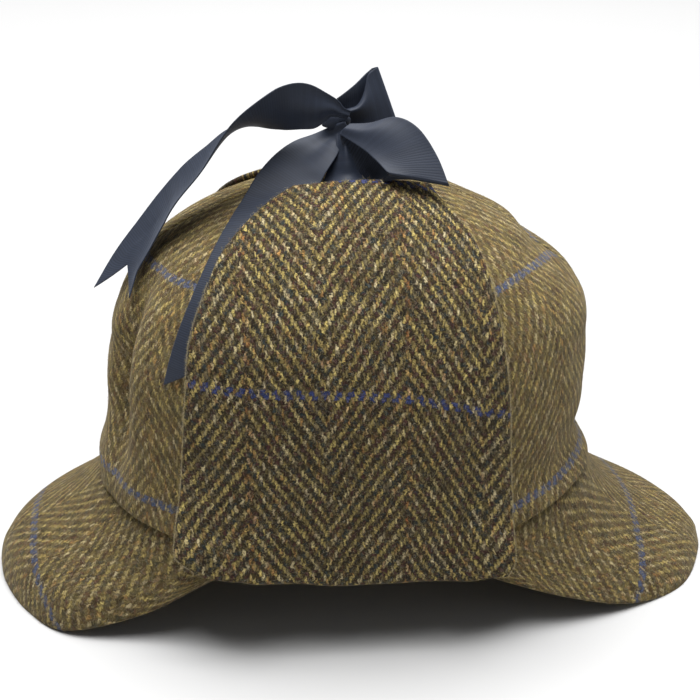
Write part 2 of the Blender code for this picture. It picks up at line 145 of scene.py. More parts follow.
# A flap's rows (mm): length of cloth below, reach to the front and to the back, fall of the front end and
# of the back end, and how far the ends stand off.
FLAP_ROWS = (
    (2.5, 64, 55.5, -7, 0, 11),
    (9, 71, 58.5, -5.5, 0, 10),
    (20, 72, 59.5, -3, 0, 7),
    (36, 71, 59.5, -1, 0, 3.5),
    (55, 70, 59.5, 0, 0, 1),
    (80, 68.3, 58.5, 0, 0, 0),
    (105, 65.7, 56, 0, 0, 0),
    (130, 58.5, 52.5, 1, 1, 0),
    (147, 53, 49, 2, 2, 0),
    (162, 45, 44, 3, 3, 0),
    (174, 37, 38.5, 3, 3, 0),
    (183, 29.5, 35, 3, 3, 0),
    (189, 22.5, 33.5, 2, 2, 0),
)
FLAP_END_POWER = 1.3
FLAP_STAND_FROM = 0.022
FLAP_STAND_FULL = 0.064
FAR_FLAP_STAND = 0.3
FLAP_FOLD_RADIUS = 0.0036
FLAP_FOLD_HALF_WIDTH = 0.036
FLAP_FOLD_FADE = 0.012
FLAP_FOLD_TURN = 125
FLAP_END_TURN = 30
FLAP_FOLD_STEPS = 9
# The blue line across the near flap: its x and the length of cloth below it (mm).
FLAP_BLUE_LINE = ((-80, 87), (0, 87), (18, 84), (35, 79), (47, 75), (63, 70), (80, 66))
FLAP_RUST_LINE = -0.045

# The knot's centre and radii (mm), its tilt (degrees), its creases, and the length of its ribbon per radian
# from end to end, per radian round it, and from end to end in all.
KNOT_CENTRE = (-3.6, 6.4, 207.6)
KNOT_RADII = (6.0, 3.2, 4.4)
KNOT_TILT = 24
KNOT_CREASES = 2.5
KNOT_CREASE_DEPTH = 0.16
KNOT_WEAVE = (0.008, 0.0065, 0.025)
# The ribbon's width, the depth of its gathers as a share of their own width, the step along a path that
# shows which way it runs, and the share of a path from which the cut of the ribbon's end counts.
RIBBON_WIDTH = 0.025
PLEAT_DEPTH = 0.12
RUNNING_STEP = 0.05
ENDING_FROM = 0.6
# Each row of a ribbon's path: its middle (mm), the lean of its upper edge from +Z towards -Y, the turn of
# that edge towards +X (degrees), and its width there (mm).
LONG_TAIL_PATH = (
    (1.5, 1.2, 211.4, 8, 20, 3.8),
    (-2.1, 0.4, 212.9, 8, 14, 4.6),
    (-5.2, -0.3, 214.8, 6, 10, 8),
    (-7.7, -0.7, 215.4, 5, 7, 11.4),
    (-13.1, -1.6, 215.7, 6, 6, 18.5),
    (-19.3, -0.4, 216.2, 13, 4, 22),
    (-28.2, -1.8, 215.5, 30, 2, 25),
    (-38.3, -3.6, 213.0, 52, -1, 25),
    (-49.5, -4.2, 207.5, 76, -3, 25),
    (-59.5, -5.7, 197.1, 96, -5, 25),
    (-69.8, -6.8, 186.6, 107, -6, 25),
    (-78.3, -5.2, 175.1, 109, 0, 25),
    (-86.8, -6.2, 163.1, 105, 9, 25),
    (-95.2, -9.7, 151.7, 100, 18, 25),
    (-100.9, -16.0, 141.6, 97, 30, 25),
)
LONG_TAIL_NOTCH = 0.014
SHORT_TAIL_PATH = (
    (0.8, -0.6, 206.6, 101, 36, 6),
    (-2.0, 1.2, 204.2, 101, 37, 8),
    (-5.4, 4.3, 201.0, 101, 39, 11),
    (-11.1, -0.5, 198.0, 102, 45, 19),
    (-21.1, -6.0, 191.5, 104, 52, 25),
    (-34.3, -20.0, 181.0, 98, 55, 25),
    (-43.0, -34.2, 173.3, 102, 61, 25),
    (-50.7, -46.8, 163.8, 107, 64, 25),
    (-57.4, -55.6, 150.7, 111, 62, 25),
    (-63.4, -61.0, 134.6, 114, 57, 25),
    (-68.9, -64.2, 116.3, 116, 48, 25),
)
SHORT_TAIL_SLANT = 0.020
# The row of its path from which the short tail lies on the crown, how much later one edge does, how softly
# it comes down there, and how far off the crown it lies.
SHORT_TAIL_LANDING = 4.0
SHORT_TAIL_LANDING_SPREAD = 1.0
SHORT_TAIL_LANDING_FADE = 1.7
SHORT_TAIL_CLEARANCE = 0.00115
LANDING_PASSES = 3
LANDING_SMOOTHING = 5
# How full a loop's belly is, how deep its rolled edge turns in, how much of its drop fades towards its end,
# how much of the gathers it keeps, and the ribbon round its end as a share of its depth there.
LOOP_BELLY_POWER = 0.6
LOOP_ROLL_DEPTH = 0.55
LOOP_DROP_FADE = 0.25
LOOP_PLEATS = 0.45
LOOP_TURN_LENGTH = 1.6
# A loop's depth at the knot and at its far end (mm).
UPPER_LOOP_DEPTH = (1.8, 4.4)
UPPER_LOOP_PATH = (
    (-2.7, 7.2, 211.7, 7, -140, 10.5),
    (3.7, 8.2, 212.9, 9, -138, 15.8),
    (10.8, 9.6, 214.5, 16, -122, 21),
    (17.5, 12.2, 216.2, 21, -114, 24.8),
)
SIDE_LOOP_DEPTH = (1.3, 2.6)
SIDE_LOOP_PATH = (
    (-1.3, -4.9, 207.8, -48, -72, 6.1),
    (5.1, -7.9, 207.3, -49, -72, 11),
    (11.9, -10.7, 207.9, -51, -79, 19),
    (17.9, -14.7, 205.4, -60, -87, 22.5),
    (23.3, -20.1, 199.6, -79, -93, 23.6),
    (27.2, -25.8, 193.0, -99, -99, 25),
)
NEAR_FLAP_RIBBON_PATH = (
    (0.4, -18.0, 185.2, -90, -90, 23),
    (0.2, -13.0, 186.2, -90, -90, 22.5),
    (0.0, -9.0, 188.6, -90, -90, 20),
    (-0.3, -7.0, 193.2, -90, -90, 14),
    (-0.6, -5.2, 198.0, -90, -90, 8),
    (-0.8, -2.0, 202.4, -90, -90, 6.6),
    (-0.8, 1.2, 205.0, -90, -90, 6),
)
FAR_FLAP_RIBBON_PATH = (
    (1.0, 9.0, 185.5, -90, -90, 19),
    (1.0, 8.2, 188.5, -90, -90, 19),
    (1.5, 7.2, 192.0, -90, -90, 15),
    (2.5, 6.0, 197.0, -90, -90, 10),
    (3.0, 5.0, 202.0, -90, -90, 7),
)

# The flat sizes that the pieces were cut to (m).
NEAR_FLAP_RIBBON_FLAT = (0.025, 0.024)
FAR_FLAP_RIBBON_FLAT = (0.025, 0.0175)
LONG_TAIL_FLAT = (0.025, 0.155)
SHORT_TAIL_FLAT = (0.025, 0.125)
UPPER_LOOP_FLAT = (0.025, 0.048)
SIDE_LOOP_FLAT = (0.025, 0.078)

# Columns and rows of the pieces' grids, or the spacing of their rows.
PANEL_GRID = (56, 110)
PEAK_GRID = (130, 60)
FLAP_GRID = (90, 0.0016)
KNOT_GRID = (64, 40)
TAIL_SPACING = 0.0013
FLAP_RIBBON_SPACING = 0.001
LOOP_SPACING = 0.0009
LOOP_TURN_STEPS = 9
RIBBON_COLUMNS = 27
# Radius of a cloth's rounded edges, and the share of its grid across and along that each edge takes up.
EDGE_RADII = {"panel": 0.0013, "peak": 0.0016, "flap": 0.0015, "ribbon": 0.0004}
EDGE_SHARES = {"panel": (0.0155, 0.008), "peak": (0.007, 0.02), "flap": (0.011, 0.0075), "ribbon": (0.03,)}
# Height of the cloth's soft unevenness, and the seeds of the unevenness and of the loose fibres.
WAVE_HEIGHTS = {"panel": 0.00035, "peak": 0.0005, "flap": 0.00025, "flap_edge": 0.0005}
WAVE_SEEDS = {"panel": 31, "peak": (7, 8), "flap": (12, 13)}
NAP_SEEDS = {"panel": 41, "peak": 54, "flap": 58, "flap_edge": 61}
# How far the panels' cloth lies inside the solids' form, and the radius below which both of these fade.
CROWN_INSET = 0.0002
CROWN_SOFT_RADIUS = 0.05

# Loose fibres per square metre of tweed, and warp yarns and weft yarns to a stripe and to the overcheck.
NAP_DENSITY = 1.1e6
STRIPE_ENDS = 27
CHECK_ENDS = 54.0
CHECK_PICKS = 54.0
YARN_COLOURS = ("Mustard", "Olive", "Beige", "Dark", "Plum", "Teal", "Blue", "Rust")
# Name, softness and shade of the tweeds. Softness blends the yarns, as steam and wear do, and above a limit
# the blue overcheck is a faded one. Shade scales a tweed's whole colour: partly it evens out the darkening
# that softness brings, partly it is painted light and shade, lighter on the crown and darker on the peaks.
CROWN_TWEED = ("tweed_crown", 0.4, 1.17)
PEAK_TWEED = ("tweed_peaks", 0.37, 0.89)
FLAP_TWEED = ("tweed_cloth", 0.05, 1.0)
FADED_ABOVE = 0.3

# Name, place and size of the lights, and the setting that gives their power.
LIGHTS = (
    ("key_light", (-0.08, 0.12, 3.2), 2.7, "key"),
    ("fill_light", (1.0, -0.7, 0.7), 1.0, "fill"),
    ("back_light", (0.1, 1.0, 1.0), 0.9, "fill"),
)
FLOOR_SIZE = 12
CAMERA_TARGET = (-0.0022, 0.0009, 0.103)
CAMERA_PLACE = (-0.0511, -0.5813, 0.3879)
CAMERA_LENS = 74.3
CAMERA_SENSOR = 36.0


# ---- small sums


def smooth(value):
    """0 below 0, 1 above 1, and an S curve between."""
    value = np.clip(value, 0.0, 1.0)
    return value * value * (3 - 2 * value)


def unit(arrows):
    return arrows / np.maximum(np.linalg.norm(arrows, axis=-1, keepdims=True), 1e-12)


def vectors(*parts):
    """A grid of vectors from grids of their parts."""
    return np.stack(np.broadcast_arrays(*parts), axis=-1)


def between(rows, at):
    """The rows at positions along their first column, on a smooth curve through all of them."""
    rows = np.asarray(rows, float)
    at = np.asarray(at, float)
    last = len(rows) - 1
    start = np.clip(np.searchsorted(rows[:, 0], at, side="right") - 1, 0, last - 1)
    before, first, second, after = (rows[np.clip(start + k, 0, last)] for k in (-1, 0, 1, 2))
    span = second[..., :1] - first[..., :1]
    t = (at[..., None] - first[..., :1]) / span
    into = (second - before) * span / (second[..., :1] - before[..., :1])
    out = (after - first) * span / (after[..., :1] - first[..., :1])
    found = (2 * t**3 - 3 * t**2 + 1) * first + (t**3 - 2 * t**2 + t) * into
    found += (3 * t**2 - 2 * t**3) * second + (t**3 - t**2) * out
    return found[..., 1:]


def by_number(rows, at):
    """The same for rows without such a column, at positions counted from the first row."""
    return between([(number, *row) for number, row in enumerate(rows)], at)


def waves(u, v, seed, finest=0.02, count=10):
    """Soft repeatable unevenness, about -1 to 1, with waves no shorter than the finest."""
    dice = np.random.default_rng(seed)
    total = np.zeros(np.broadcast(u, v).shape)
    for _ in range(count):
        length = finest * (1 + 3 * dice.random())
        angle, phase = dice.random(2) * 2 * math.pi
        total += np.sin((u * math.cos(angle) + v * math.sin(angle)) * 2 * math.pi / length + phase)
    return total / math.sqrt(count)


def summed(steps, axis):
    """The sum of the steps up to each point along the lines of a grid, from 0 at their first point."""
    start = np.zeros_like(np.take(steps, [0], axis=axis))
    return np.concatenate([start, np.cumsum(steps, axis=axis)], axis=axis)


def running_length(points, axis):
    """Distance along the lines of a grid of points, from 0 at their first point."""
    return summed(np.linalg.norm(np.diff(points, axis=axis), axis=-1), axis)


def from_middle(values):
    """Values across a grid, counted from its middle column."""
    return values - values[:, [values.shape[1] // 2]]


def close_ends(count, fine):
    """Positions from 0 to 1 with three more near each end, so that a cloth's edge can be rounded."""
    inner = np.linspace(0, 1, count)
    near = np.array((0.0, 0.12, 0.45, 1.0)) * fine
    inner = inner[(inner > fine * 1.5) & (inner < 1 - fine * 1.5)]
    return np.concatenate([near, inner, 1 - near[::-1]])


# ---- the crown's surface


def seam_height(azimuth):
    """Height of the crown's lower edge: lowest over the ears, and a little lower in front."""
    return SEAM_HEIGHT - EAR_DIP * np.abs(np.sin(azimuth)) ** EAR_DIP_POWER + SEAM_TILT * np.cos(azimuth)


def wall_scale(height):
    """Size of the crown's plan at a height, as a share of its widest."""
    share = np.clip((height - BULGE_HEIGHT) / DOME_HEIGHT, 0, 1)
    return (1 - share**DOME_POWER) ** (1 / DOME_POWER)


def dent_depth(azimuth, height, dents=CROWN_DENTS):
    """How far the crown is pressed in, towards its axis."""
    depth = 0.0
    for centre, level, azimuth_spread, height_spread, deepest in dents:
        turn = (np.degrees(azimuth) - centre + 180) % 360 - 180
        rise = height / MM - level
        depth = depth + deepest * MM * np.exp(-((turn / azimuth_spread) ** 2) - (rise / height_spread) ** 2)
    return depth


def flare(azimuth, height):
    """How far the lower edge stands out over the peaks."""
    above = (height - seam_height(azimuth)) / SEAM_FLARE_REACH
    return SEAM_FLARE * np.exp(-above * above) * np.abs(np.cos(azimuth))


def oval_radius(azimuth):
    along = np.abs(np.cos(azimuth)) / CROWN_HALF_LENGTH
    across = np.abs(np.sin(azimuth)) / CROWN_HALF_WIDTH
    return (along**PLAN_POWER + across**PLAN_POWER) ** (-1 / PLAN_POWER)


def pushed_out(azimuth, height):
    """How far the flare and the dents move the surface out of the plain dome, fading towards the top."""
    fade = smooth(oval_radius(azimuth) * wall_scale(height) / DENT_FADE_RADIUS)
    return fade * (flare(azimuth, height) - dent_depth(azimuth, height))


def crown_radius(azimuth, height):
    return oval_radius(azimuth) * wall_scale(height) + pushed_out(azimuth, height)


def rise_height(azimuth, rise):
    """Height on the crown, from its lower edge at rise 0 to its top at rise 1."""
    low = seam_height(azimuth)
    wall = low + (BULGE_HEIGHT - low) * rise / WALL_SHARE
    angle = np.clip((rise - WALL_SHARE) / (1 - WALL_SHARE), 0, 1) * math.pi / 2
    dome = BULGE_HEIGHT + DOME_HEIGHT * np.sin(angle) ** (2 / DOME_POWER)
    return np.where(rise < WALL_SHARE, wall, dome)


def outside(points):
    """Above 0 outside the crown, below 0 inside it."""
    azimuth = np.arctan2(points[..., 1], points[..., 0])
    reach = np.hypot(points[..., 0], points[..., 1])
    height = points[..., 2]
    share = np.maximum(height - BULGE_HEIGHT, 0) / DOME_HEIGHT
    plan = np.maximum(reach - pushed_out(azimuth, height), 0) / oval_radius(azimuth)
    return (plan**DOME_POWER + share**DOME_POWER) ** (1 / DOME_POWER) - 1


def outward(points):
    """Unit vectors away from the crown's surface."""
    nudges = np.eye(3) * SURFACE_STEP
    return unit(np.stack([outside(points + nudge) - outside(points - nudge) for nudge in nudges], axis=-1))


def crown_distance(points):
    """Distance from the crown's surface, and the unit vectors away from it."""
    away = outward(points)
    step = away * SURFACE_STEP
    slope = (outside(points + step) - outside(points - step)) / (2 * SURFACE_STEP)
    return outside(points) / slope, away


def ray_hits(starts, directions):
    """Where rays from inside the crown meet its surface."""
    near = np.zeros(starts.shape[:-1])
    far = np.full(starts.shape[:-1], RAY_LENGTH)
    for _ in range(RAY_HALVINGS):
        middle = (near + far) / 2
        inside = outside(starts + directions * middle[..., None]) < 0
        near = np.where(inside, middle, near)
        far = np.where(inside, far, middle)
    return starts + directions * near[..., None]


def side_slices(side):
    """The crown's outlines in planes across x, from the lower edge on one side to the middle, and their
    normals."""
    xs = np.arange(-SLICE_REACH, SLICE_REACH + SLICE_SPACING / 2, SLICE_SPACING)
    steps = np.arange(SLICE_WALL_STEPS)
    wall_heights = SLICE_START + (BULGE_HEIGHT - SLICE_START) * steps / SLICE_WALL_STEPS
    angles = np.radians(np.linspace(0, SLICE_DOME_SWEEP, SLICE_DOME_STEPS + 1))
    heights = np.concatenate([wall_heights, np.full(len(angles), BULGE_HEIGHT)])
    angles = np.concatenate([np.zeros(len(wall_heights)), angles])
    starts = vectors(xs[:, None], 0.0, heights)
    lines = ray_hits(starts, vectors(0.0, side * np.cos(angles), np.sin(angles)))
    return xs, lines, outward(lines)


# ---- cloth


def grid_normals(points, away):
    """Unit normals of a grid of points, on the side that the rough direction away points to."""
    normals = unit(np.cross(np.gradient(points, axis=0), np.gradient(points, axis=1)))
    return -normals if np.sum(normals * away) < 0 else normals


def rounding(distance, radius):
    """0 at an edge, growing as a quarter circle to 1 at the radius."""
    near = 1 - np.clip(distance / radius, 0, 1)
    return np.sqrt(np.maximum(1 - near * near, 0))


def cloth_shell(name, outer, away, weave, thickness, edge_radius, material):
    """A closed cloth wall: outer is the grid of its outer face, away a rough direction out of that face, and
    weave the cloth's own coordinates. Its edges are rounded, so both faces meet in one line there."""
    normals = grid_normals(outer, away)
    along = running_length(outer, 0)
    across = running_length(outer, 1)
    distance = np.minimum(np.minimum(along, along[-1:] - along), np.minimum(across, across[:, -1:] - across))
    half = normals * (thickness / 2 * rounding(distance, edge_radius))[..., None]
    middle = outer - normals * thickness / 2
    front, back = middle + half, middle - half
    inner = back[1:-1, 1:-1]
    front_index = np.arange(distance.size).reshape(distance.shape)
    back_index = front_index.copy()
    back_index[1:-1, 1:-1] = np.arange(inner.size // 3).reshape(inner.shape[:2]) + distance.size
    places = np.concatenate([front.reshape(-1, 3), inner.reshape(-1, 3)]) + HAT_PLACE

    def quads(index, backwards):
        corners = (index[:-1, :-1], index[1:, :-1], index[1:, 1:], index[:-1, 1:])
        return np.stack(corners[::-1] if backwards else corners, axis=-1).reshape(-1, 4)

    facing = np.cross(np.diff(outer, axis=0)[:, :-1], np.diff(outer, axis=1)[:-1])
    turned = np.sum(facing * normals[:-1, :-1]) < 0
    faces = np.concatenate([quads(front_index, turned), quads(back_index, not turned)])
    corners = np.concatenate([quads(front_index, turned), quads(front_index, not turned)])
    return finished_mesh(name, places, faces.tolist(), weave.reshape(-1, 2)[corners], material)


def finished_mesh(name, places, faces, corner_weave, material):
    """A smooth object at the origin from its points, its faces and the weave coordinates of their corners.
    What would reach below the floor is pressed flat on it."""
    mesh = bpy.data.meshes.new(name)
    mesh.from_pydata(np.maximum(places, (-np.inf, -np.inf, 0.0)).tolist(), [], faces)
    layer = mesh.uv_layers.new(name="weave")
    layer.data.foreach_set("uv", np.asarray(corner_weave, np.float32).ravel())
    mesh.shade_smooth()
    mesh.materials.append(material)
    mesh.validate()
    made = bpy.data.objects.new(name, mesh)
    bpy.context.scene.collection.objects.link(made)
    return made


def hand_over(made, slot, *nodes):
    """Lets a finished piece ride with the hat, in the place of its solids if it has some."""
    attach(made, "root")
    if nodes:
        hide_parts(*nodes)
    return made


def cloth_piece(name, grid, kind, material):
    """A closed wall of one kind of cloth in the place of its solid."""
    thickness = getattr(bpy.context.scene.hat_cloth, kind)
    made = cloth_shell(f"{name}_cloth", *grid, thickness, EDGE_RADII[kind], material)
    return hand_over(made, "grosgrain" if kind == "ribbon" else "tweed", name)


def ribbon_piece(name, grid):
    """A piece of ribbon in the place of its solid."""
    return cloth_piece(name, grid, "ribbon", grosgrain_material())


def loose_fibres(name, blades, faces, tint):
    """Fibres as blades of a few points each, with their faces and the tint of each face."""
    corner_tint = np.repeat(tint, len(faces[0]), axis=0)
    made = finished_mesh(name, blades.reshape(-1, 3) + HAT_PLACE, faces.tolist(), corner_tint, nap_material())
    hand_over(made, "tweed")


def edge_nap(name, points, away, seed, spacing=0.00006, length=0.0011, width=0.00009):
    """Pale fibres all along a flap's two side edges. Their pale tints are partly the fibres' own colour and
    partly a painted highlight along the edge.
    """
    dice = np.random.default_rng(seed)
    free = np.flatnonzero(points[:, 0, 2] < 0.16)
    found = []
    for edge, inner in ((points[free, 0], points[free, 1]), (points[free, -1], points[free, -2])):
        along = running_length(edge, 0)
        wanted = dice.random(int(along[-1] / spacing)) * along[-1]
        lines = np.concatenate([edge, unit(edge - inner)], axis=-1)
        found.append(np.stack([np.interp(wanted, along, line) for line in lines.T], axis=-1))
    base, out = np.split(np.concatenate(found), 2, axis=-1)
    out = unit(out)
    count = len(base)
    normal = unit(np.array((0, away[0, 0, 1], 0.15)))
    base = base - normal * dice.random((count, 1)) ** 2 * 0.0014 - out * 0.0003
    aim = unit(out * 0.5 + dice.normal(size=(count, 3)))
    side = unit(np.cross(aim, normal)) * width / 2
    tip = base + aim * length * (0.35 + 0.9 * dice.random((count, 1)))
    blades = np.stack([base - side, base + side, tip], axis=1)
    # The tints keep to the paler colours of the nap: partly the fibres' own colour, partly a painted
    # highlight along the lit edge.
    tint = vectors(0.45 + 0.55 * dice.random(count), dice.random(count) * 0.9)
    loose_fibres(f"{name}_edge_nap", blades, np.arange(count * 3).reshape(-1, 3), tint)


def nap(name, points, away, seed, stand=0.3, length=0.0017, width=0.000045):
    """Loose fibres over the outer face of a cloth: thin blades that lie along it, with their tips lifted."""
    dice = np.random.default_rng(seed)
    normals = grid_normals(points, away)
    corner, right, up = points[:-1, :-1], points[:-1, 1:], points[1:, :-1]
    areas = np.linalg.norm(np.cross(right - corner, up - corner), axis=-1).ravel()
    count = int(areas.sum() * NAP_DENSITY)
    cells = np.searchsorted(np.cumsum(areas), dice.random(count) * areas.sum())
    row, column = np.unravel_index(np.minimum(cells, len(areas) - 1), corner.shape[:2])
    across, along = dice.random((2, count, 1))

    def inside_cell(values):
        low = values[row, column] * (1 - across) + values[row, column + 1] * across
        high = values[row + 1, column] * (1 - across) + values[row + 1, column + 1] * across
        return low * (1 - along) + high * along

    base, normal = inside_cell(points), unit(inside_cell(normals))
    aim = dice.normal(size=(count, 3))
    flat = unit(aim - normal * np.sum(aim * normal, axis=-1, keepdims=True))
    lift = np.abs(dice.normal(size=(count, 1))) * stand
    reach = length * (0.4 + 0.9 * dice.random((count, 1)))
    across_blade = unit(np.cross(flat, normal))
    side = across_blade * width / 2
    middle = base + (flat * 0.5 + normal * lift * 0.5) * reach
    bend = across_blade * dice.normal(size=(count, 1)) * 0.3
    tip = middle + (flat * 0.5 + normal * lift * 0.2 + bend) * reach
    blades = np.stack([base - side, base + side, middle + side, middle - side, tip], axis=1)
    first = np.arange(count)[:, None] * 5
    faces = np.concatenate([first + (0, 1, 2), first + (0, 2, 3), first + (3, 2, 4)])
    loose_fibres(f"{name}_nap", blades, faces, np.tile(dice.random((count, 2)), (3, 1)))


# ---- the pieces' shapes


def crown_panel_grid(index, columns, rows):
    """Outer face and weave coordinates of one of the crown's panels."""
    width = 2 * math.pi / PANEL_COUNT
    across, along = map(close_ends, (columns, rows), EDGE_SHARES["panel"])
    azimuth, rise = np.broadcast_arrays((index + across) * width, along[:, None] * TOP_RISE)
    height = rise_height(azimuth, rise)
    radius = crown_radius(azimuth, height)
    radius = radius - smooth(radius / DENT_FADE_RADIUS) * dent_depth(azimuth, height, CROWN_FOLDS)
    soft = waves(azimuth * 0.09, height, WAVE_SEEDS["panel"]) * WAVE_HEIGHTS["panel"] + CROWN_INSET
    radius = radius - soft * smooth(radius / CROWN_SOFT_RADIUS)
    points = vectors(radius * np.cos(azimuth), radius * np.sin(azimuth), height)
    u = from_middle(running_length(points, 1))
    column = len(across) // 2
    v = running_length(points, 0)[:, [column]]
    v = v - np.interp(PANEL_BLUE_LINE, height[:, column], v[:, 0])
    weave = vectors(u, v + PANEL_BOW[index] * u**2 * np.clip(v / 0.1, 0, 1))
    away = vectors(np.cos(azimuth), np.sin(azimuth), 0.2)
    return points, away, weave


def peak_grid(facing, edge, droops, lines, columns, rows):
    """Top face and weave coordinates of a drooping peak on one end of the crown."""
    across, along = map(close_ends, (columns, rows), EDGE_SHARES["peak"])
    share = (2 * across - 1)[None, :] + np.zeros((len(along), 1))
    azimuth = np.radians(PEAK_HALF_SWEEP) * share + (0 if facing > 0 else math.pi)
    height = seam_height(azimuth) - PEAK_GAP
    radius = crown_radius(azimuth, height) - PEAK_TUCK
    start = vectors(radius * np.cos(azimuth), radius * np.sin(azimuth), height)
    reach = between(edge, np.abs(share)) * MM
    end = vectors(facing * reach[..., 0], np.sign(share) * facing * reach[..., 1], reach[..., 2])
    run = end - start
    length = np.linalg.norm(run, axis=-1, keepdims=True)
    flat = unit(run * (1, 1, 0))

    def handle(middle, side, pull):
        droop = np.radians(middle + (side - middle) * share**2)[..., None]
        return (flat * np.cos(droop) - np.sin(droop) * (0, 0, 1)) * pull * length

    # Each line from the crown to the peak's edge is a cubic curve that leaves and arrives with its droops.
    leave, arrive = handle(*droops[0]), handle(*droops[1])
    t = along[:, None, None]
    points = (1 - t) ** 3 * start + 3 * t * (1 - t) ** 2 * (start + leave)
    points = points + 3 * t**2 * (1 - t) * (end - arrive) + t**3 * end
    edge_wave = waves(points[..., 1], points[..., 0] * 0.2, WAVE_SEEDS["peak"][facing < 0], 0.03)
    points[..., 2] += edge_wave * WAVE_HEIGHTS["peak"] * smooth(t[..., 0] * 2 - 1)
    # The cloth's own coordinates, measured over the peak's slopes across and along the hat.
    steps = np.diff(points, axis=1)
    u = from_middle(summed(np.sign(steps[..., 1]) * np.hypot(steps[..., 1], steps[..., 2]), 1))
    steps = np.diff(points, axis=0)
    slope = steps[..., 0] ** 2 / np.maximum(steps[..., 0] ** 2 + steps[..., 1] ** 2, 1e-12)
    turn = np.sign(steps[..., 0]) * np.sqrt(steps[..., 0] ** 2 + steps[..., 2] ** 2 * slope)
    v = points[:1, :, 0] + summed(turn, 0)
    middle = v.shape[1] // 2
    blue = np.interp(lines[0], np.abs(points[:, middle, 0]), v[:, middle])
    weave = vectors(u - lines[1], -facing * (v - blue))
    return points, np.array((0, 0, 1.0)), weave


def flap_grid(side, clearance, stand_share, columns, spacing):
    """Outer face and weave coordinates of an ear flap that rolls out from under the crown's edge and up."""
    lengths = [row[0] * MM for row in FLAP_ROWS]
    count = int((lengths[-1] - lengths[0]) / spacing)
    across, along = map(close_ends, (columns, count), EDGE_SHARES["flap"])
    share = 2 * across - 1
    wanted = lengths[0] + (lengths[-1] - lengths[0]) * along
    at = np.interp(wanted, lengths, np.arange(len(lengths)))
    folding = np.linspace(1, 0, FLAP_FOLD_STEPS, endpoint=False)
    at = np.concatenate([np.zeros(len(folding)), at])
    folding = np.concatenate([folding, np.zeros(len(at) - len(folding))])
    found = by_number(FLAP_ROWS, at)[:, None, :] * MM
    length, front, back, front_fall, back_fall, stand = np.moveaxis(found, -1, 0)
    x = (front + back) / 2 * share + (back - front) / 2
    fall = np.where(share > 0, back_fall, front_fall) * np.abs(share) ** FLAP_END_POWER
    measured = length + np.zeros_like(x) - fall
    reached = (np.abs(x) - FLAP_STAND_FROM) / (FLAP_STAND_FULL - FLAP_STAND_FROM)
    standing = stand * stand_share * smooth(reached)
    # The crown's slices at the flap's places, raised to where its outer face lies.
    xs, lines, normals = side_slices(side)
    place = np.clip((x - xs[0]) / SLICE_SPACING, 0, len(xs) - 1.001)
    low = place.astype(int)
    part = (place - low)[..., None, None]
    line = lines[low] * (1 - part) + lines[low + 1] * part
    normal = unit(normals[low] * (1 - part) + normals[low + 1] * part)
    thickness = bpy.context.scene.hat_cloth.flap
    raised = line + normal * (clearance + thickness + standing)[..., None, None]
    # Each length of cloth is measured up along its slice.
    walked = running_length(raised, 2)
    target = measured + FLAP_BASE - raised[..., 0, 2]
    step = np.clip(np.sum(walked <= target[..., None], axis=-1) - 1, 0, walked.shape[-1] - 2)
    pick = np.take_along_axis
    near, far = (pick(walked, (step + k)[..., None], -1)[..., 0] for k in (0, 1))
    part = np.clip((target - near) / (far - near), 0, 1)[..., None]
    points = pick(raised, step[..., None, None], 2)[:, :, 0] * (1 - part)
    points = points + pick(raised, (step + 1)[..., None, None], 2)[:, :, 0] * part
    # The first rows turn under round the fold at the flap's foot.
    fading = smooth((np.abs(x) - FLAP_FOLD_HALF_WIDTH) / FLAP_FOLD_FADE)
    turn = np.radians(FLAP_FOLD_TURN - (FLAP_FOLD_TURN - FLAP_END_TURN) * fading) * folding[:, None]
    points[..., 1] -= side * FLAP_FOLD_RADIUS * (1 - np.cos(turn))
    points[..., 2] -= FLAP_FOLD_RADIUS * np.sin(turn)
    cloth = measured - FLAP_FOLD_RADIUS * turn
    wave_height = WAVE_HEIGHTS["flap"] + WAVE_HEIGHTS["flap_edge"] * np.exp(-((cloth - 0.004) / 0.012) ** 2)
    soft = waves(x, cloth, WAVE_SEEDS["flap"][side > 0], 0.03) * wave_height
    away = np.zeros_like(points) + (0, side, 0.3)
    points += grid_normals(points, away) * (soft * (1 - folding[:, None]))[..., None]
    blue = np.interp(x, *(np.array(FLAP_BLUE_LINE).T * MM))
    weave = vectors(x - FLAP_RUST_LINE, cloth - blue)
    return points, away, weave


def ribbon_frame(path, at, square=True):
    """Middle, width vector and running direction of a ribbon at positions along its path."""
    found = by_number(path, at)
    before = by_number(path, np.maximum(at - RUNNING_STEP, 0))
    after = by_number(path, np.minimum(at + RUNNING_STEP, len(path) - 1))
    running = unit(after[..., :3] - before[..., :3])
    lean, turn = np.radians(found[..., 3]), np.radians(found[..., 4])
    upper = vectors(np.sin(turn) * np.sin(lean), -np.cos(turn) * np.sin(lean), np.cos(lean))
    if square:
        upper = unit(upper - running * np.sum(upper * running, axis=-1, keepdims=True))
    return found[..., :3] * MM, upper * found[..., 5:6] * MM, running, found[..., 5] * MM


def pleats(share, width, count, depth=PLEAT_DEPTH, phase=0.0):
    """Height of the gathers where a ribbon is narrower than its cloth."""
    gathered = np.clip(RIBBON_WIDTH / np.maximum(width, 0.004) - 1, 0, 2.2)
    wave = width / count
    return depth * wave * np.sqrt(gathered) * np.cos(2 * math.pi * count * share + phase)


def path_positions(path, spacing):
    """Positions along a path about one spacing apart, and the length of ribbon up to each."""
    fine = np.linspace(0, len(path) - 1, 40 * len(path))
    middle = ribbon_frame(path, fine)[0]
    length = running_length(middle, 0)
    wanted = length[-1] * close_ends(int(length[-1] / spacing), 0.5 * MM / length[-1])
    return np.interp(wanted, length, fine), wanted


def width_shares(count):
    """Positions across a ribbon, from -0.5 to 0.5, for each of a count of rows."""
    return close_ends(RIBBON_COLUMNS, *EDGE_SHARES["ribbon"])[None, :] - 0.5 + np.zeros((count, 1))


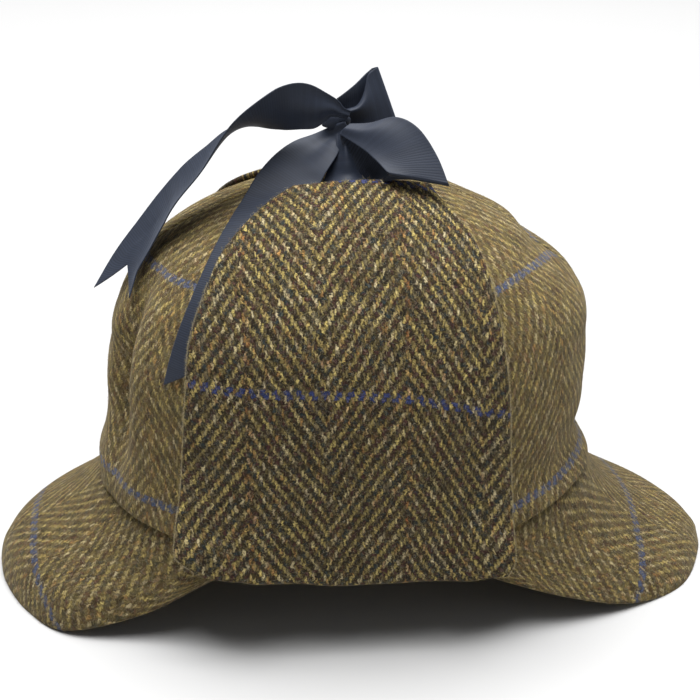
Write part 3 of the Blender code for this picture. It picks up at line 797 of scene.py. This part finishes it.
def ribbon_grid(path, spacing, count, depth, notch=0.0, slant=0.0, landing=None, cup=0.0, phase=0.0):
    """Front face and weave coordinates of a strip of ribbon along a path that starts in the knot. Its end has
    a notch or a slant, and from its landing on it lies on the crown."""
    last = len(path) - 1
    at, length = path_positions(path, spacing)
    share = width_shares(len(at))
    middle, upper, running, width = (part[:, None] for part in ribbon_frame(path, at))
    ending = smooth((at / last - ENDING_FROM) / (1 - ENDING_FROM))[:, None]
    shift = ending * ((2 * np.abs(share) - 1) * notch - (share + 0.5) * slant)
    away = unit(np.cross(upper, running))
    points = middle + upper * share[..., None] + running * shift[..., None]
    hollow = cup * (4 * share**2 - 1) * smooth(length / 0.03)[:, None]
    points = points + away * (pleats(share, width, count, depth, phase) + hollow)[..., None]
    if landing is not None:
        place = at[:, None] - landing + SHORT_TAIL_LANDING_SPREAD * share
        pressed = smooth(place / SHORT_TAIL_LANDING_FADE)
        for _ in range(LANDING_PASSES):
            for _ in range(LANDING_SMOOTHING):
                points[1:-1] = (points[:-2] + 2 * points[1:-1] + points[2:]) / 4
            distance, out = crown_distance(points)
            short = SHORT_TAIL_CLEARANCE - distance
            points = points + out * (short * np.where(short > 0, 1, pressed))[..., None]
    weave = vectors(share * RIBBON_WIDTH, length[:, None] + shift)
    return points, away + np.zeros_like(points), weave


def loop_grid(path, depth, spacing, front_sag=0.0, back_drop=0.0, back_belly=0.0):
    """Front face and weave coordinates of a loop: out along a path, round its end and back behind it. The
    front sheet's upper edge sags by a share of the width, the back sheet's lower edge drops by a length, and
    its middle stands back by another."""
    last = len(path) - 1
    at, length = path_positions(path, spacing)
    turn = np.linspace(0, 1, LOOP_TURN_STEPS)[1:-1]
    out = np.concatenate([at, np.full(len(turn), last), at[::-1]])
    swing = math.pi * np.concatenate([np.zeros(len(at)), turn, np.ones(len(at))])[:, None]
    middle, upper, running, width = (part[:, None] for part in ribbon_frame(path, out, square=False))
    near_knot, at_end = (value * MM for value in depth)
    gap = near_knot + (at_end - near_knot) * smooth(out / last)[:, None]
    share = width_shares(len(out))
    away = unit(np.cross(upper, running))
    gone = np.clip(out / last, 0, 1)[:, None]
    belly = np.sin(math.pi * gone) ** LOOP_BELLY_POWER
    face = np.cos(swing)
    on_front, on_back = (1 + face) / 2, (1 - face) / 2
    rolled = np.clip(share + 0.5, 0, 1) ** 2 * (1 - smooth((gone - 0.35) / 0.5)) * front_sag * on_front
    points = middle + upper * (share - rolled)[..., None]
    turned_in = np.sin(np.clip(share + 0.5, 0, 1) * math.pi) * rolled * width
    points = points - away * turned_in[..., None] * LOOP_ROLL_DEPTH
    drop = belly * (1 - smooth((gone - 0.5) / 0.4) * LOOP_DROP_FADE) * back_drop
    points[..., 2] -= np.clip(0.5 - share, 0, 1) * drop * on_back
    points = points + away * ((gap + belly * back_belly) * on_back)[..., None]
    points = points + running * (gap * np.sin(swing) / 2)[..., None]
    points = points - away * (pleats(share, width, 1) * face * LOOP_PLEATS)[..., None]
    whole = np.concatenate([length, length[-1] + turn * gap[len(at), 0] * LOOP_TURN_LENGTH])
    whole = np.concatenate([whole, whole[-1] + 0.001 + length[-1] - length[::-1]])
    weave = vectors(share * RIBBON_WIDTH, whole[:, None])
    return points, -away * face[..., None], weave


def knot_piece(name, material):
    """The knot's wrap: a rounded lump with the creases of ribbon pulled tight round it."""
    columns, rows = KNOT_GRID
    polar = np.linspace(0, math.pi, rows + 1)[1:-1, None]
    around = np.arange(columns)[None, :] * 2 * math.pi / columns
    polar, around = np.broadcast_arrays(polar, around)
    creases = np.abs(np.sin(KNOT_CREASES * polar + 0.35 * np.sin(around + 0.6)))
    swell = 0.9 + KNOT_CREASE_DEPTH * creases**0.6 + 0.05 * np.sin(2 * around + 3 * polar)
    x, y, z = np.cos(polar), np.sin(polar) * np.cos(around), np.sin(polar) * np.sin(around)
    cos, sin = math.cos(math.radians(KNOT_TILT)), math.sin(math.radians(KNOT_TILT))
    ball = vectors(x * cos - z * sin, y, x * sin + z * cos)
    points = (ball * swell[..., None] * KNOT_RADII + KNOT_CENTRE) * MM
    places = np.concatenate([points.reshape(-1, 3), [points[0].mean(axis=0), points[-1].mean(axis=0)]])
    index = np.arange(polar.size).reshape(polar.shape)
    after = np.roll(index, -1, axis=1)
    quads = vectors(index[:-1], index[1:], after[1:], after[:-1]).reshape(-1, 4)
    first_cap = vectors(np.full(columns, polar.size), index[0], after[0])
    last_cap = vectors(np.full(columns, polar.size + 1), after[-1], index[-1])
    faces = quads.tolist() + first_cap.tolist() + last_cap.tolist()
    weave = vectors(polar.ravel() * KNOT_WEAVE[0], around.ravel() * KNOT_WEAVE[1])
    weave = np.concatenate([weave, [(0, 0), (KNOT_WEAVE[2], 0)]])
    return finished_mesh(name, places + HAT_PLACE, faces, weave[np.concatenate(faces)], material)


# ---- settings


def colour_property(name, description, default):
    return bpy.props.FloatVectorProperty(
        name=name, description=description, default=default, subtype="COLOR", size=3, min=0, max=1
    )


def number_property(name, description, default, **more):
    return bpy.props.FloatProperty(name=name, description=description, default=default, min=0, **more)


def length_property(name, description, default):
    return number_property(name, description, default, unit="LENGTH")


class HatClothSettings(bpy.types.PropertyGroup):
    """Thickness of the hat's cloth and ribbon."""

    panel: length_property("Panel thickness", "Thickness of the crown's panels", 0.0018)
    peak: length_property("Peak thickness", "Thickness of the peaks, with the stiffening inside them", 0.003)
    flap: length_property("Flap thickness", "Thickness of the ear flaps", 0.0025)
    ribbon: length_property("Ribbon thickness", "Thickness of the grosgrain ribbon", 0.0006)


class HatTweedSettings(bpy.types.PropertyGroup):
    """The tweed's weave and colours."""

    warp_pitch: length_property("Warp pitch", "Distance between warp yarns", 0.00115)
    weft_pitch: length_property("Weft pitch", "Distance between weft yarns", 0.00185)
    mustard: colour_property("Mustard", "Lighter warp yarn", (0.33, 0.26, 0.085))
    olive: colour_property("Olive", "Darker warp yarn", (0.16, 0.12, 0.042))
    beige: colour_property("Beige", "Pale fibres in the warp yarn", (0.4, 0.35, 0.25))
    dark: colour_property("Dark", "Weft yarn", (0.017, 0.012, 0.008))
    plum: colour_property("Plum", "Reddish fibres in the weft yarn", (0.055, 0.018, 0.02))
    teal: colour_property("Teal", "Greenish fibres in the weft yarn", (0.013, 0.027, 0.033))
    blue: colour_property("Blue", "Overcheck yarn across the cloth", (0.018, 0.029, 0.1))
    faded_blue: colour_property("Faded blue", "Blue overcheck yarn of softened cloth", (0.042, 0.057, 0.108))
    rust: colour_property("Rust", "Overcheck yarn along the cloth", (0.19, 0.06, 0.018))
    relief: number_property("Relief", "Strength of the weave's relief", 0.8)


class HatRibbonSettings(bpy.types.PropertyGroup):
    """The ribbon's weave and colour."""

    rib_pitch: length_property("Rib pitch", "Distance between the ribbon's ribs", 0.001)
    colour: colour_property("Ribbon", "Colour of the ribbon", (0.02, 0.027, 0.046))
    roughness: number_property("Roughness", "Dullness", 0.6, max=1)


class HatStudioSettings(bpy.types.PropertyGroup):
    """The floor and the lights."""

    floor: colour_property("Floor", "Colour of the floor", (0.54, 0.54, 0.54))
    key: number_property("Key light", "Power of the key light", 238.0, unit="POWER")
    fill: number_property("Fill light", "Power of the fill light", 0.9, unit="POWER")
    sky: number_property("Sky", "Strength of the light from all round", 0.12)


# ---- materials


class Board:
    """Adds nodes to a shader tree and wires them up."""

    def __init__(self, tree):
        self.tree = tree

    def feed(self, socket, value):
        """Gives a socket its value or its wire. Colours may leave out their alpha."""
        if isinstance(value, bpy.types.NodeSocket):
            self.tree.links.new(value, socket)
        else:
            socket.default_value = (*value, 1) if socket.type == "RGBA" and len(value) == 3 else value

    def feed_all(self, node, values):
        for name, value in values.items():
            self.feed(node.inputs[name], value)

    def node(self, kind, values, **settings):
        """Adds a node with the values or wires of its named or numbered inputs."""
        made = self.tree.nodes.new(kind)
        for name, value in settings.items():
            setattr(made, name, value)
        self.feed_all(made, values)
        return made

    def sum(self, operation, *values):
        return self.node("ShaderNodeMath", dict(enumerate(values)), operation=operation).outputs[0]

    def plus(self, first, second):
        return self.sum("ADD", first, second)

    def times(self, first, second):
        return self.sum("MULTIPLY", first, second)

    def scaled(self, value, factor, offset):
        return self.sum("MULTIPLY_ADD", value, factor, offset)

    def mix(self, share, first, second, blend="MIX"):
        inputs = {0: share, 6: first, 7: second}
        return self.node("ShaderNodeMix", inputs, data_type="RGBA", blend_type=blend).outputs[2]

    def shaded(self, colour, shade):
        return self.mix(1.0, colour, shade, "MULTIPLY")

    def pick(self, share, first, second):
        return self.node("ShaderNodeMix", {0: share, 2: first, 3: second}, data_type="FLOAT").outputs[0]

    def noise(self, vector, scale, detail=2.0):
        inputs = {"Vector": vector, "Scale": scale, "Detail": detail, "Roughness": 0.5}
        return self.node("ShaderNodeTexNoise", inputs).outputs["Fac"]

    def dice(self, *values):
        """A random value for each different vector of whole numbers."""
        inputs = {"Vector": self.vector(*values)}
        return self.node("ShaderNodeTexWhiteNoise", inputs, noise_dimensions="3D").outputs["Value"]

    def vector(self, *values):
        return self.node("ShaderNodeCombineXYZ", dict(enumerate(values))).outputs[0]

    def split(self, vector):
        return self.node("ShaderNodeSeparateXYZ", {0: vector}).outputs

    def ramp(self, value, low, high):
        """0 at low, 1 at high, straight between and level beyond."""
        inputs = {"Value": value, "From Min": low, "From Max": high}
        return self.node("ShaderNodeMapRange", inputs, clamp=True).outputs[0]


def herringbone_group():
    """Yarn by yarn pattern of a 2 and 2 herringbone twill with an overcheck, with painted shade between the
    yarns.
    """
    group = bpy.data.node_groups.new("herringbone", "ShaderNodeTree")
    group.interface.new_socket("Place", in_out="INPUT", socket_type="NodeSocketVector")
    for label in ("Warp Pitch", "Weft Pitch", "Softness"):
        group.interface.new_socket(label, in_out="INPUT", socket_type="NodeSocketFloat")
    for label in YARN_COLOURS:
        group.interface.new_socket(label, in_out="INPUT", socket_type="NodeSocketColor")
    for label, kind in (("Colour", "NodeSocketColor"), ("Height", "NodeSocketFloat")):
        group.interface.new_socket(label, in_out="OUTPUT", socket_type=kind)
    board = Board(group)
    given = board.node("NodeGroupInput", {}).outputs
    place = given["Place"]

    def strayed(line, *strays):
        """Where a yarn lies that strays from its straight line: by scale, reach and seed of its strays."""
        for scale, reach, seed in strays:
            moved = board.node("ShaderNodeVectorMath", {0: place, 1: (seed, 0, 0)}, operation="ADD")
            noise = board.noise(moved.outputs[0], scale, 1.0)
            line = board.plus(line, board.scaled(noise, 2 * reach, -reach))
        return line

    across, along, _ = board.split(place)
    across = strayed(across, (30.0, 0.0012, 1.0), (480.0, 0.001, 2.0), (1300.0, 0.0007, 5.0))
    along = strayed(along, (35.0, 0.0014, 3.0), (520.0, 0.0016, 4.0), (1250.0, 0.001, 6.0))
    ends = board.sum("DIVIDE", across, given["Warp Pitch"])
    picks = board.sum("DIVIDE", along, given["Weft Pitch"])
    end, pick = board.sum("FLOOR", ends), board.sum("FLOOR", picks)
    over_end, over_pick = board.sum("FRACT", ends), board.sum("FRACT", picks)
    stripe = board.sum("FLOOR", board.sum("DIVIDE", end, STRIPE_ENDS))
    flip = board.sum("FLOORED_MODULO", stripe, 2.0)
    way = board.scaled(flip, -2.0, 1.0)
    phase = board.sum("FLOORED_MODULO", board.scaled(end, way, pick), 4.0)
    warp_up = board.sum("LESS_THAN", phase, 1.5)
    along_warp = board.times(board.plus(phase, over_pick), 0.5)
    towards = board.pick(flip, over_end, board.sum("SUBTRACT", 1.0, over_end))
    along_weft = board.times(board.plus(board.sum("SUBTRACT", phase, 2.0), towards), 0.5)

    def bulge(across_yarn, along_yarn, fullness):
        side = board.sum("ABSOLUTE", board.scaled(across_yarn, 2.0, -1.0))
        round_side = board.sum("SUBTRACT", 1.0, board.sum("POWER", side, 2.4))
        arch = board.sum("SINE", board.times(along_yarn, math.pi))
        return board.times(board.times(round_side, arch), fullness)

    yarn_height = board.pick(warp_up, bulge(over_pick, along_weft, 0.6), bulge(over_end, along_warp, 1.0))

    def heather(across_scale, along_scale, seed, detail=1.0):
        """Fibres of another colour, drawn out along the yarns."""
        spot = board.vector(board.times(ends, across_scale), board.times(picks, along_scale), seed)
        return board.noise(spot, 1.0, detail)

    def streaks(low, high, *spot):
        """Where such fibres show: 0 where their noise is low and 1 where it is high."""
        return board.ramp(heather(*spot), low, high)

    def dyed(yarn, *dyes):
        """A yarn's colour with other yarns' colours over it: each by where it lies and how much at most."""
        colour = given[yarn] if isinstance(yarn, str) else yarn
        for name, share, most in dyes:
            colour = board.mix(share if most == 1.0 else board.times(share, most), colour, given[name])
        return colour

    def every(yarn, count):
        """1 on two yarns next to each other out of a count, and 0 on the others."""
        return board.sum("LESS_THAN", board.sum("FLOORED_MODULO", yarn, count), 1.5)

    lifted = board.sum("FLOOR", board.times(board.sum("SUBTRACT", picks, phase), 0.5))
    tone = board.plus(board.times(board.dice(end, lifted, 5.0), 0.5), heather(0.5, 0.22, 1.7))
    warp_colour = dyed(
        "Olive",
        ("Mustard", board.ramp(tone, 0.45, 1.05), 1.0),
        ("Beige", board.ramp(board.dice(end, lifted, 9.0), 0.6, 0.95), 0.5),
        ("Rust", streaks(0.56, 0.68, 0.6, 0.3, 9.2), 0.6),
        ("Dark", board.ramp(board.dice(end, lifted, 14.0), 0.4, 0.05), 0.75),
        ("Rust", board.times(every(end, CHECK_ENDS), streaks(0.35, 0.75, 1.0, 0.4, 3.1)), 0.8),
    )
    weft_dice = board.dice(board.sum("FLOOR", board.times(ends, 0.5)), pick, 8.0)
    blue_pick = every(pick, CHECK_PICKS)
    weft_colour = dyed(
        "Dark",
        ("Plum", board.ramp(weft_dice, 0.4, 0.8), 1.0),
        ("Teal", streaks(0.52, 0.62, 0.5, 0.9, 4.4), 1.0),
        ("Olive", streaks(0.58, 0.76, 0.9, 1.1, 7.7), 1.0),
        ("Blue", blue_pick, 0.95),
    )

    # The yarns' colour is darkened where they dip under each other and towards their rounded sides: painted
    # shade of the weave's relief. Where the blue weft is up, it is darkened less.
    shade = board.scaled(yarn_height, 1.3, 0.14)
    shade = board.plus(shade, board.times(blue_pick, board.scaled(warp_up, -0.5, 0.5)))
    fibre = heather(2.6, 3.4, 2.2, 3.0)
    colour = board.shaded(board.mix(warp_up, weft_colour, warp_colour), shade)
    colour = board.shaded(colour, board.times(board.ramp(fibre, 0.3, 0.68), 1.5))
    colour = dyed(colour, ("Beige", streaks(0.6, 0.78, 3.1, 1.6, 6.3, 2.0), 0.5))
    colour = board.shaded(colour, board.scaled(board.noise(place, 22.0, 3.0), 0.9, 0.9))

    blended = dyed(
        "Olive",
        ("Mustard", streaks(0.3, 0.7, 0.5, 0.2, 8.8, 2.0), 1.0),
        ("Rust", streaks(0.45, 0.7, 0.45, 0.2, 5.1, 2.0), 0.5),
        ("Plum", streaks(0.5, 0.7, 1.1, 0.5, 12.3, 2.0), 0.5),
        ("Beige", streaks(0.52, 0.7, 1.3, 0.6, 15.9, 2.0), 0.5),
        ("Dark", streaks(0.35, 0.8, 0.6, 0.2, 2.9, 2.0), 1.0),
        ("Blue", board.times(blue_pick, streaks(0.15, 0.5, 0.7, 0.5, 11.3)), 0.95),
    )
    height = board.plus(yarn_height, board.scaled(fibre, 0.9, -0.45))
    board.node("NodeGroupOutput", {"Colour": board.mix(given["Softness"], colour, blended), "Height": height})
    return group


def cloth_place(board):
    """The cloth's own coordinates in metres, from the piece's weave map."""
    return board.node("ShaderNodeUVMap", {}, uv_map="weave").outputs[0]


def material_once(name, dress):
    """The material of a name. If it is new, dress gives its shader what it needs."""
    material = bpy.data.materials.get(name)
    if not material:
        material = bpy.data.materials.new(name)
        material.use_nodes = True
        board = Board(material.node_tree)
        board.feed_all(material.node_tree.nodes["Principled BSDF"], dress(board))
    return material


def relief(board, height, strength, depth):
    """Normals that show a height as small bumps."""
    bump = {"Height": height, "Strength": strength, "Distance": depth}
    return board.node("ShaderNodeBump", bump).outputs[0]


def tweed_material(name, softness, shade):
    """Herringbone tweed with its blue and rust overcheck."""

    def dress(board):
        tweed = bpy.context.scene.hat_tweed
        group = bpy.data.node_groups.get("herringbone") or herringbone_group()
        inputs = {"Place": cloth_place(board), "Softness": softness}
        inputs.update({"Warp Pitch": tweed.warp_pitch, "Weft Pitch": tweed.weft_pitch})
        inputs.update({label: getattr(tweed, label.lower()) for label in YARN_COLOURS})
        if softness > FADED_ABOVE:
            inputs["Blue"] = tweed.faded_blue
        weave = board.node("ShaderNodeGroup", inputs, node_tree=group).outputs
        # Shade scales the whole colour: partly it evens out the darkening from softness, partly it is painted
        # light and shade, lighter on the crown and darker on the peaks.
        return {
            "Base Color": board.shaded(weave["Colour"], (shade,) * 3),
            "Roughness": 0.93,
            "Specular IOR Level": 0.2,
            "Sheen Weight": 0.16,
            "Sheen Roughness": 0.45,
            "Sheen Tint": (0.74, 0.62, 0.42),
            "Normal": relief(board, weave["Height"], tweed.relief * (1 - softness), 0.0004),
        }

    return material_once(name, dress)


def nap_material():
    """The tweed's loose fibres, each of one colour."""

    def dress(board):
        tweed = bpy.context.scene.hat_tweed
        tone, rare, _ = board.split(cloth_place(board))
        colour = board.mix(board.ramp(tone, 0.0, 0.6), tweed.olive, tweed.mustard)
        colour = board.mix(board.ramp(tone, 0.6, 0.8), colour, tweed.beige)
        colour = board.mix(board.ramp(rare, 0.9, 0.92), colour, tweed.rust)
        return {"Base Color": colour, "Roughness": 0.8, "Specular IOR Level": 0.2}

    return material_once("tweed_nap", dress)


def grosgrain_material():
    """Ribbed ribbon with a soft satin sheen, and painted shade in the grooves between its ribs."""

    def dress(board):
        ribbon = bpy.context.scene.hat_ribbon
        across, along, _ = board.split(cloth_place(board))
        ribs = board.sum("DIVIDE", along, ribbon.rib_pitch)
        side = board.scaled(board.sum("FRACT", ribs), 2.0, -1.0)
        rib = board.sum("SQRT", board.sum("SUBTRACT", 1.0, board.times(side, side)))
        rib_dice = board.dice(board.sum("FLOOR", ribs), 0.0, 1.0)
        threads = board.noise(board.vector(board.times(across, 5200.0), ribs, 0.0), 1.0)
        # The colour darkens in the grooves between the ribs: painted shade of the ribs. Crisp deepens this
        # painted shade, and the ribs' bumps, further along each piece, standing in for where the ribs catch
        # the light.
        crisp = board.ramp(along, 0.02, 0.06)
        rib = board.times(board.sum("SUBTRACT", rib, 1.0), board.scaled(crisp, 0.95, 0.15))
        shade = board.times(board.scaled(rib, 0.75, 1.0), board.scaled(rib_dice, 0.16, 0.92))
        shade = board.times(shade, board.scaled(threads, 0.6, 0.7))
        return {
            "Base Color": board.shaded(ribbon.colour, shade),
            "Roughness": board.scaled(threads, 0.2, ribbon.roughness - 0.1),
            "Specular IOR Level": 0.36,
            "Sheen Weight": 0.15,
            "Sheen Roughness": 0.4,
            "Sheen Tint": (0.55, 0.62, 0.78),
            "Normal": relief(board, board.plus(rib, board.times(threads, 0.25)), 0.3, 0.0003),
        }

    return material_once("grosgrain_ribbon", dress)


# ---- operators


class HatPiece:
    """What the hat's operators share."""

    bl_options = {"REGISTER", "UNDO"}


class HAT_OT_crown(HatPiece, bpy.types.Operator):
    """Make the crown's six panels"""

    bl_idname = "hat.crown"
    bl_label = "Crown"

    def execute(self, context):
        for index in range(PANEL_COUNT):
            name = f"crown_panel_{index + 1}"
            grid = crown_panel_grid(index, *PANEL_GRID)
            made = cloth_piece(name, grid, "panel", tweed_material(*CROWN_TWEED))
            nap(name, *grid[:2], NAP_SEEDS["panel"] + index)
        return {"FINISHED"}


class HAT_OT_peaks(HatPiece, bpy.types.Operator):
    """Make the front peak and the back peak"""

    bl_idname = "hat.peaks"
    bl_label = "Peaks"

    def execute(self, context):
        for name, facing, *form in (
            ("front_peak", -1, FRONT_PEAK_EDGE, FRONT_PEAK_DROOPS, FRONT_PEAK_LINES),
            ("back_peak", 1, BACK_PEAK_EDGE, BACK_PEAK_DROOPS, BACK_PEAK_LINES),
        ):
            grid = peak_grid(facing, *form, *PEAK_GRID)
            made = cloth_piece(name, grid, "peak", tweed_material(*PEAK_TWEED))
            nap(name, *grid[:2], NAP_SEEDS["peak"] + facing)
        return {"FINISHED"}


class HAT_OT_ear_flaps(HatPiece, bpy.types.Operator):
    """Make both ear flaps, folded up against the crown"""

    bl_idname = "hat.ear_flaps"
    bl_label = "Ear flaps"

    def execute(self, context):
        for name, side, clearance, stand_share in (
            ("near_ear_flap", -1, NEAR_FLAP_CLEARANCE, 1),
            ("far_ear_flap", 1, FAR_FLAP_CLEARANCE, FAR_FLAP_STAND),
        ):
            grid = flap_grid(side, clearance, stand_share, *FLAP_GRID)
            made = cloth_piece(name, grid, "flap", tweed_material(*FLAP_TWEED))
            nap(name, *grid[:2], NAP_SEEDS["flap"] + side)
            edge_nap(name, *grid[:2], NAP_SEEDS["flap_edge"] + side)
        return {"FINISHED"}


class HAT_OT_tails(HatPiece, bpy.types.Operator):
    """Make the bow's two free ends"""

    bl_idname = "hat.tails"
    bl_label = "Ribbon tails"

    def execute(self, context):
        notched = {"depth": 0.08, "notch": LONG_TAIL_NOTCH, "cup": -0.0016}
        slanted = {"depth": 0.06, "slant": SHORT_TAIL_SLANT, "landing": SHORT_TAIL_LANDING, "phase": 1.0}
        for name, path, flat, form in (
            ("ribbon_tail_long", LONG_TAIL_PATH, LONG_TAIL_FLAT, notched),
            ("ribbon_tail_short", SHORT_TAIL_PATH, SHORT_TAIL_FLAT, slanted),
        ):
            made = ribbon_piece(name, ribbon_grid(path, TAIL_SPACING, 1.5, **form))
        return {"FINISHED"}


class HAT_OT_flap_ribbons(HatPiece, bpy.types.Operator):
    """Make the ribbons from the ear flaps up to the knot"""

    bl_idname = "hat.flap_ribbons"
    bl_label = "Flap ribbons"

    def execute(self, context):
        for name, path, flat, count, depth in (
            ("near_flap_ribbon", NEAR_FLAP_RIBBON_PATH, NEAR_FLAP_RIBBON_FLAT, 1, 1.7 * PLEAT_DEPTH),
            ("far_flap_ribbon", FAR_FLAP_RIBBON_PATH, FAR_FLAP_RIBBON_FLAT, 3, 2 * PLEAT_DEPTH),
        ):
            made = ribbon_piece(name, ribbon_grid(path, FLAP_RIBBON_SPACING, count, depth, cup=0.0006))
        return {"FINISHED"}


class HAT_OT_bow_loops(HatPiece, bpy.types.Operator):
    """Make the bow's two loops"""

    bl_idname = "hat.bow_loops"
    bl_label = "Bow loops"

    def execute(self, context):
        for name, path, depth, flat, *form in (
            ("bow_loop_upper", UPPER_LOOP_PATH, UPPER_LOOP_DEPTH, UPPER_LOOP_FLAT, 0.5, 0.0, 0.0),
            ("bow_loop_side", SIDE_LOOP_PATH, SIDE_LOOP_DEPTH, SIDE_LOOP_FLAT, 0.0, 0.013, 0.004),
        ):
            made = ribbon_piece(name, loop_grid(path, depth, LOOP_SPACING, *form))
        return {"FINISHED"}


class HAT_OT_bow_knot(HatPiece, bpy.types.Operator):
    """Make the knot in the middle of the bow"""

    bl_idname = "hat.bow_knot"
    bl_label = "Bow knot"

    def execute(self, context):
        hand_over(knot_piece("bow_knot_cloth", grosgrain_material()), "grosgrain", "bow_knot")
        return {"FINISHED"}


class HAT_OT_studio(HatPiece, bpy.types.Operator):
    """Set up the floor, the lights and the camera"""

    bl_idname = "hat.studio"
    bl_label = "Studio"

    def execute(self, context):
        studio = context.scene.hat_studio
        lay_floor(studio.floor)
        for name, place, size, power in LIGHTS:
            area_light(context.scene, name, place, size, getattr(studio, power))
        world = bpy.data.worlds.new("studio")
        world.use_nodes = True
        background = world.node_tree.nodes["Background"]
        background.inputs["Color"].default_value = (1, 1, 1, 1)
        background.inputs["Strength"].default_value = studio.sky
        context.scene.world = world
        context.scene.view_settings.view_transform = "Standard"
        place_camera(context.scene)
        return {"FINISHED"}


def lay_floor(colour):
    bpy.ops.object.select_all(action="DESELECT")
    bpy.ops.mesh.primitive_plane_add(size=FLOOR_SIZE)
    floor = bpy.context.object
    floor.name = "floor"
    paint = {"Base Color": colour, "Roughness": 0.9, "Specular IOR Level": 0.0}
    floor.data.materials.append(material_once("floor_paint", lambda board: paint))


def aim_at_hat(scene, name, data, place):
    """Puts a light or a camera in its place, turned to the hat."""
    made = bpy.data.objects.new(name, data)
    made.location = place
    aim = Vector(CAMERA_TARGET) - Vector(place)
    made.rotation_euler = aim.to_track_quat("-Z", "Y").to_euler()
    scene.collection.objects.link(made)
    return made


def area_light(scene, name, place, size, power):
    light = bpy.data.lights.new(name, "AREA")
    light.energy = power
    light.size = size
    aim_at_hat(scene, name, light, place)


def place_camera(scene):
    lens = bpy.data.cameras.new("camera")
    lens.lens = CAMERA_LENS
    lens.sensor_width = CAMERA_SENSOR
    lens.sensor_fit = "HORIZONTAL"
    lens.clip_start = 0.01
    scene.camera = aim_at_hat(scene, "camera", lens, CAMERA_PLACE)


PIECES = (
    HAT_OT_studio,
    HAT_OT_crown,
    HAT_OT_peaks,
    HAT_OT_ear_flaps,
    HAT_OT_flap_ribbons,
    HAT_OT_tails,
    HAT_OT_bow_loops,
    HAT_OT_bow_knot,
)


class HAT_PT_sidebar(bpy.types.Panel):
    """Lists the hat's pieces and settings"""

    bl_idname = "HAT_PT_sidebar"
    bl_label = "Deerstalker hat"
    bl_space_type = "VIEW_3D"
    bl_region_type = "UI"
    bl_category = "Hat"

    def draw(self, context):
        column = self.layout.column()
        for group in SETTINGS:
            settings = getattr(context.scene, group)
            for name in settings.__annotations__:
                column.prop(settings, name)
        for piece in PIECES:
            column.operator(piece.bl_idname)


SETTINGS = {
    "hat_cloth": HatClothSettings,
    "hat_tweed": HatTweedSettings,
    "hat_ribbon": HatRibbonSettings,
    "hat_studio": HatStudioSettings,
}


def register():
    for kind in (*SETTINGS.values(), *PIECES, HAT_PT_sidebar):
        bpy.utils.register_class(kind)
    for name, kind in SETTINGS.items():
        setattr(bpy.types.Scene, name, bpy.props.PointerProperty(type=kind))


def unregister():
    for name in SETTINGS:
        delattr(bpy.types.Scene, name)
    for kind in reversed((*SETTINGS.values(), *PIECES, HAT_PT_sidebar)):
        bpy.utils.unregister_class(kind)


def main():
    register()
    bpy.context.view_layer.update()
    for piece in PIECES:
        group, name = piece.bl_idname.split(".")
        getattr(getattr(bpy.ops, group), name)()


if __name__ == "__main__":
    main()
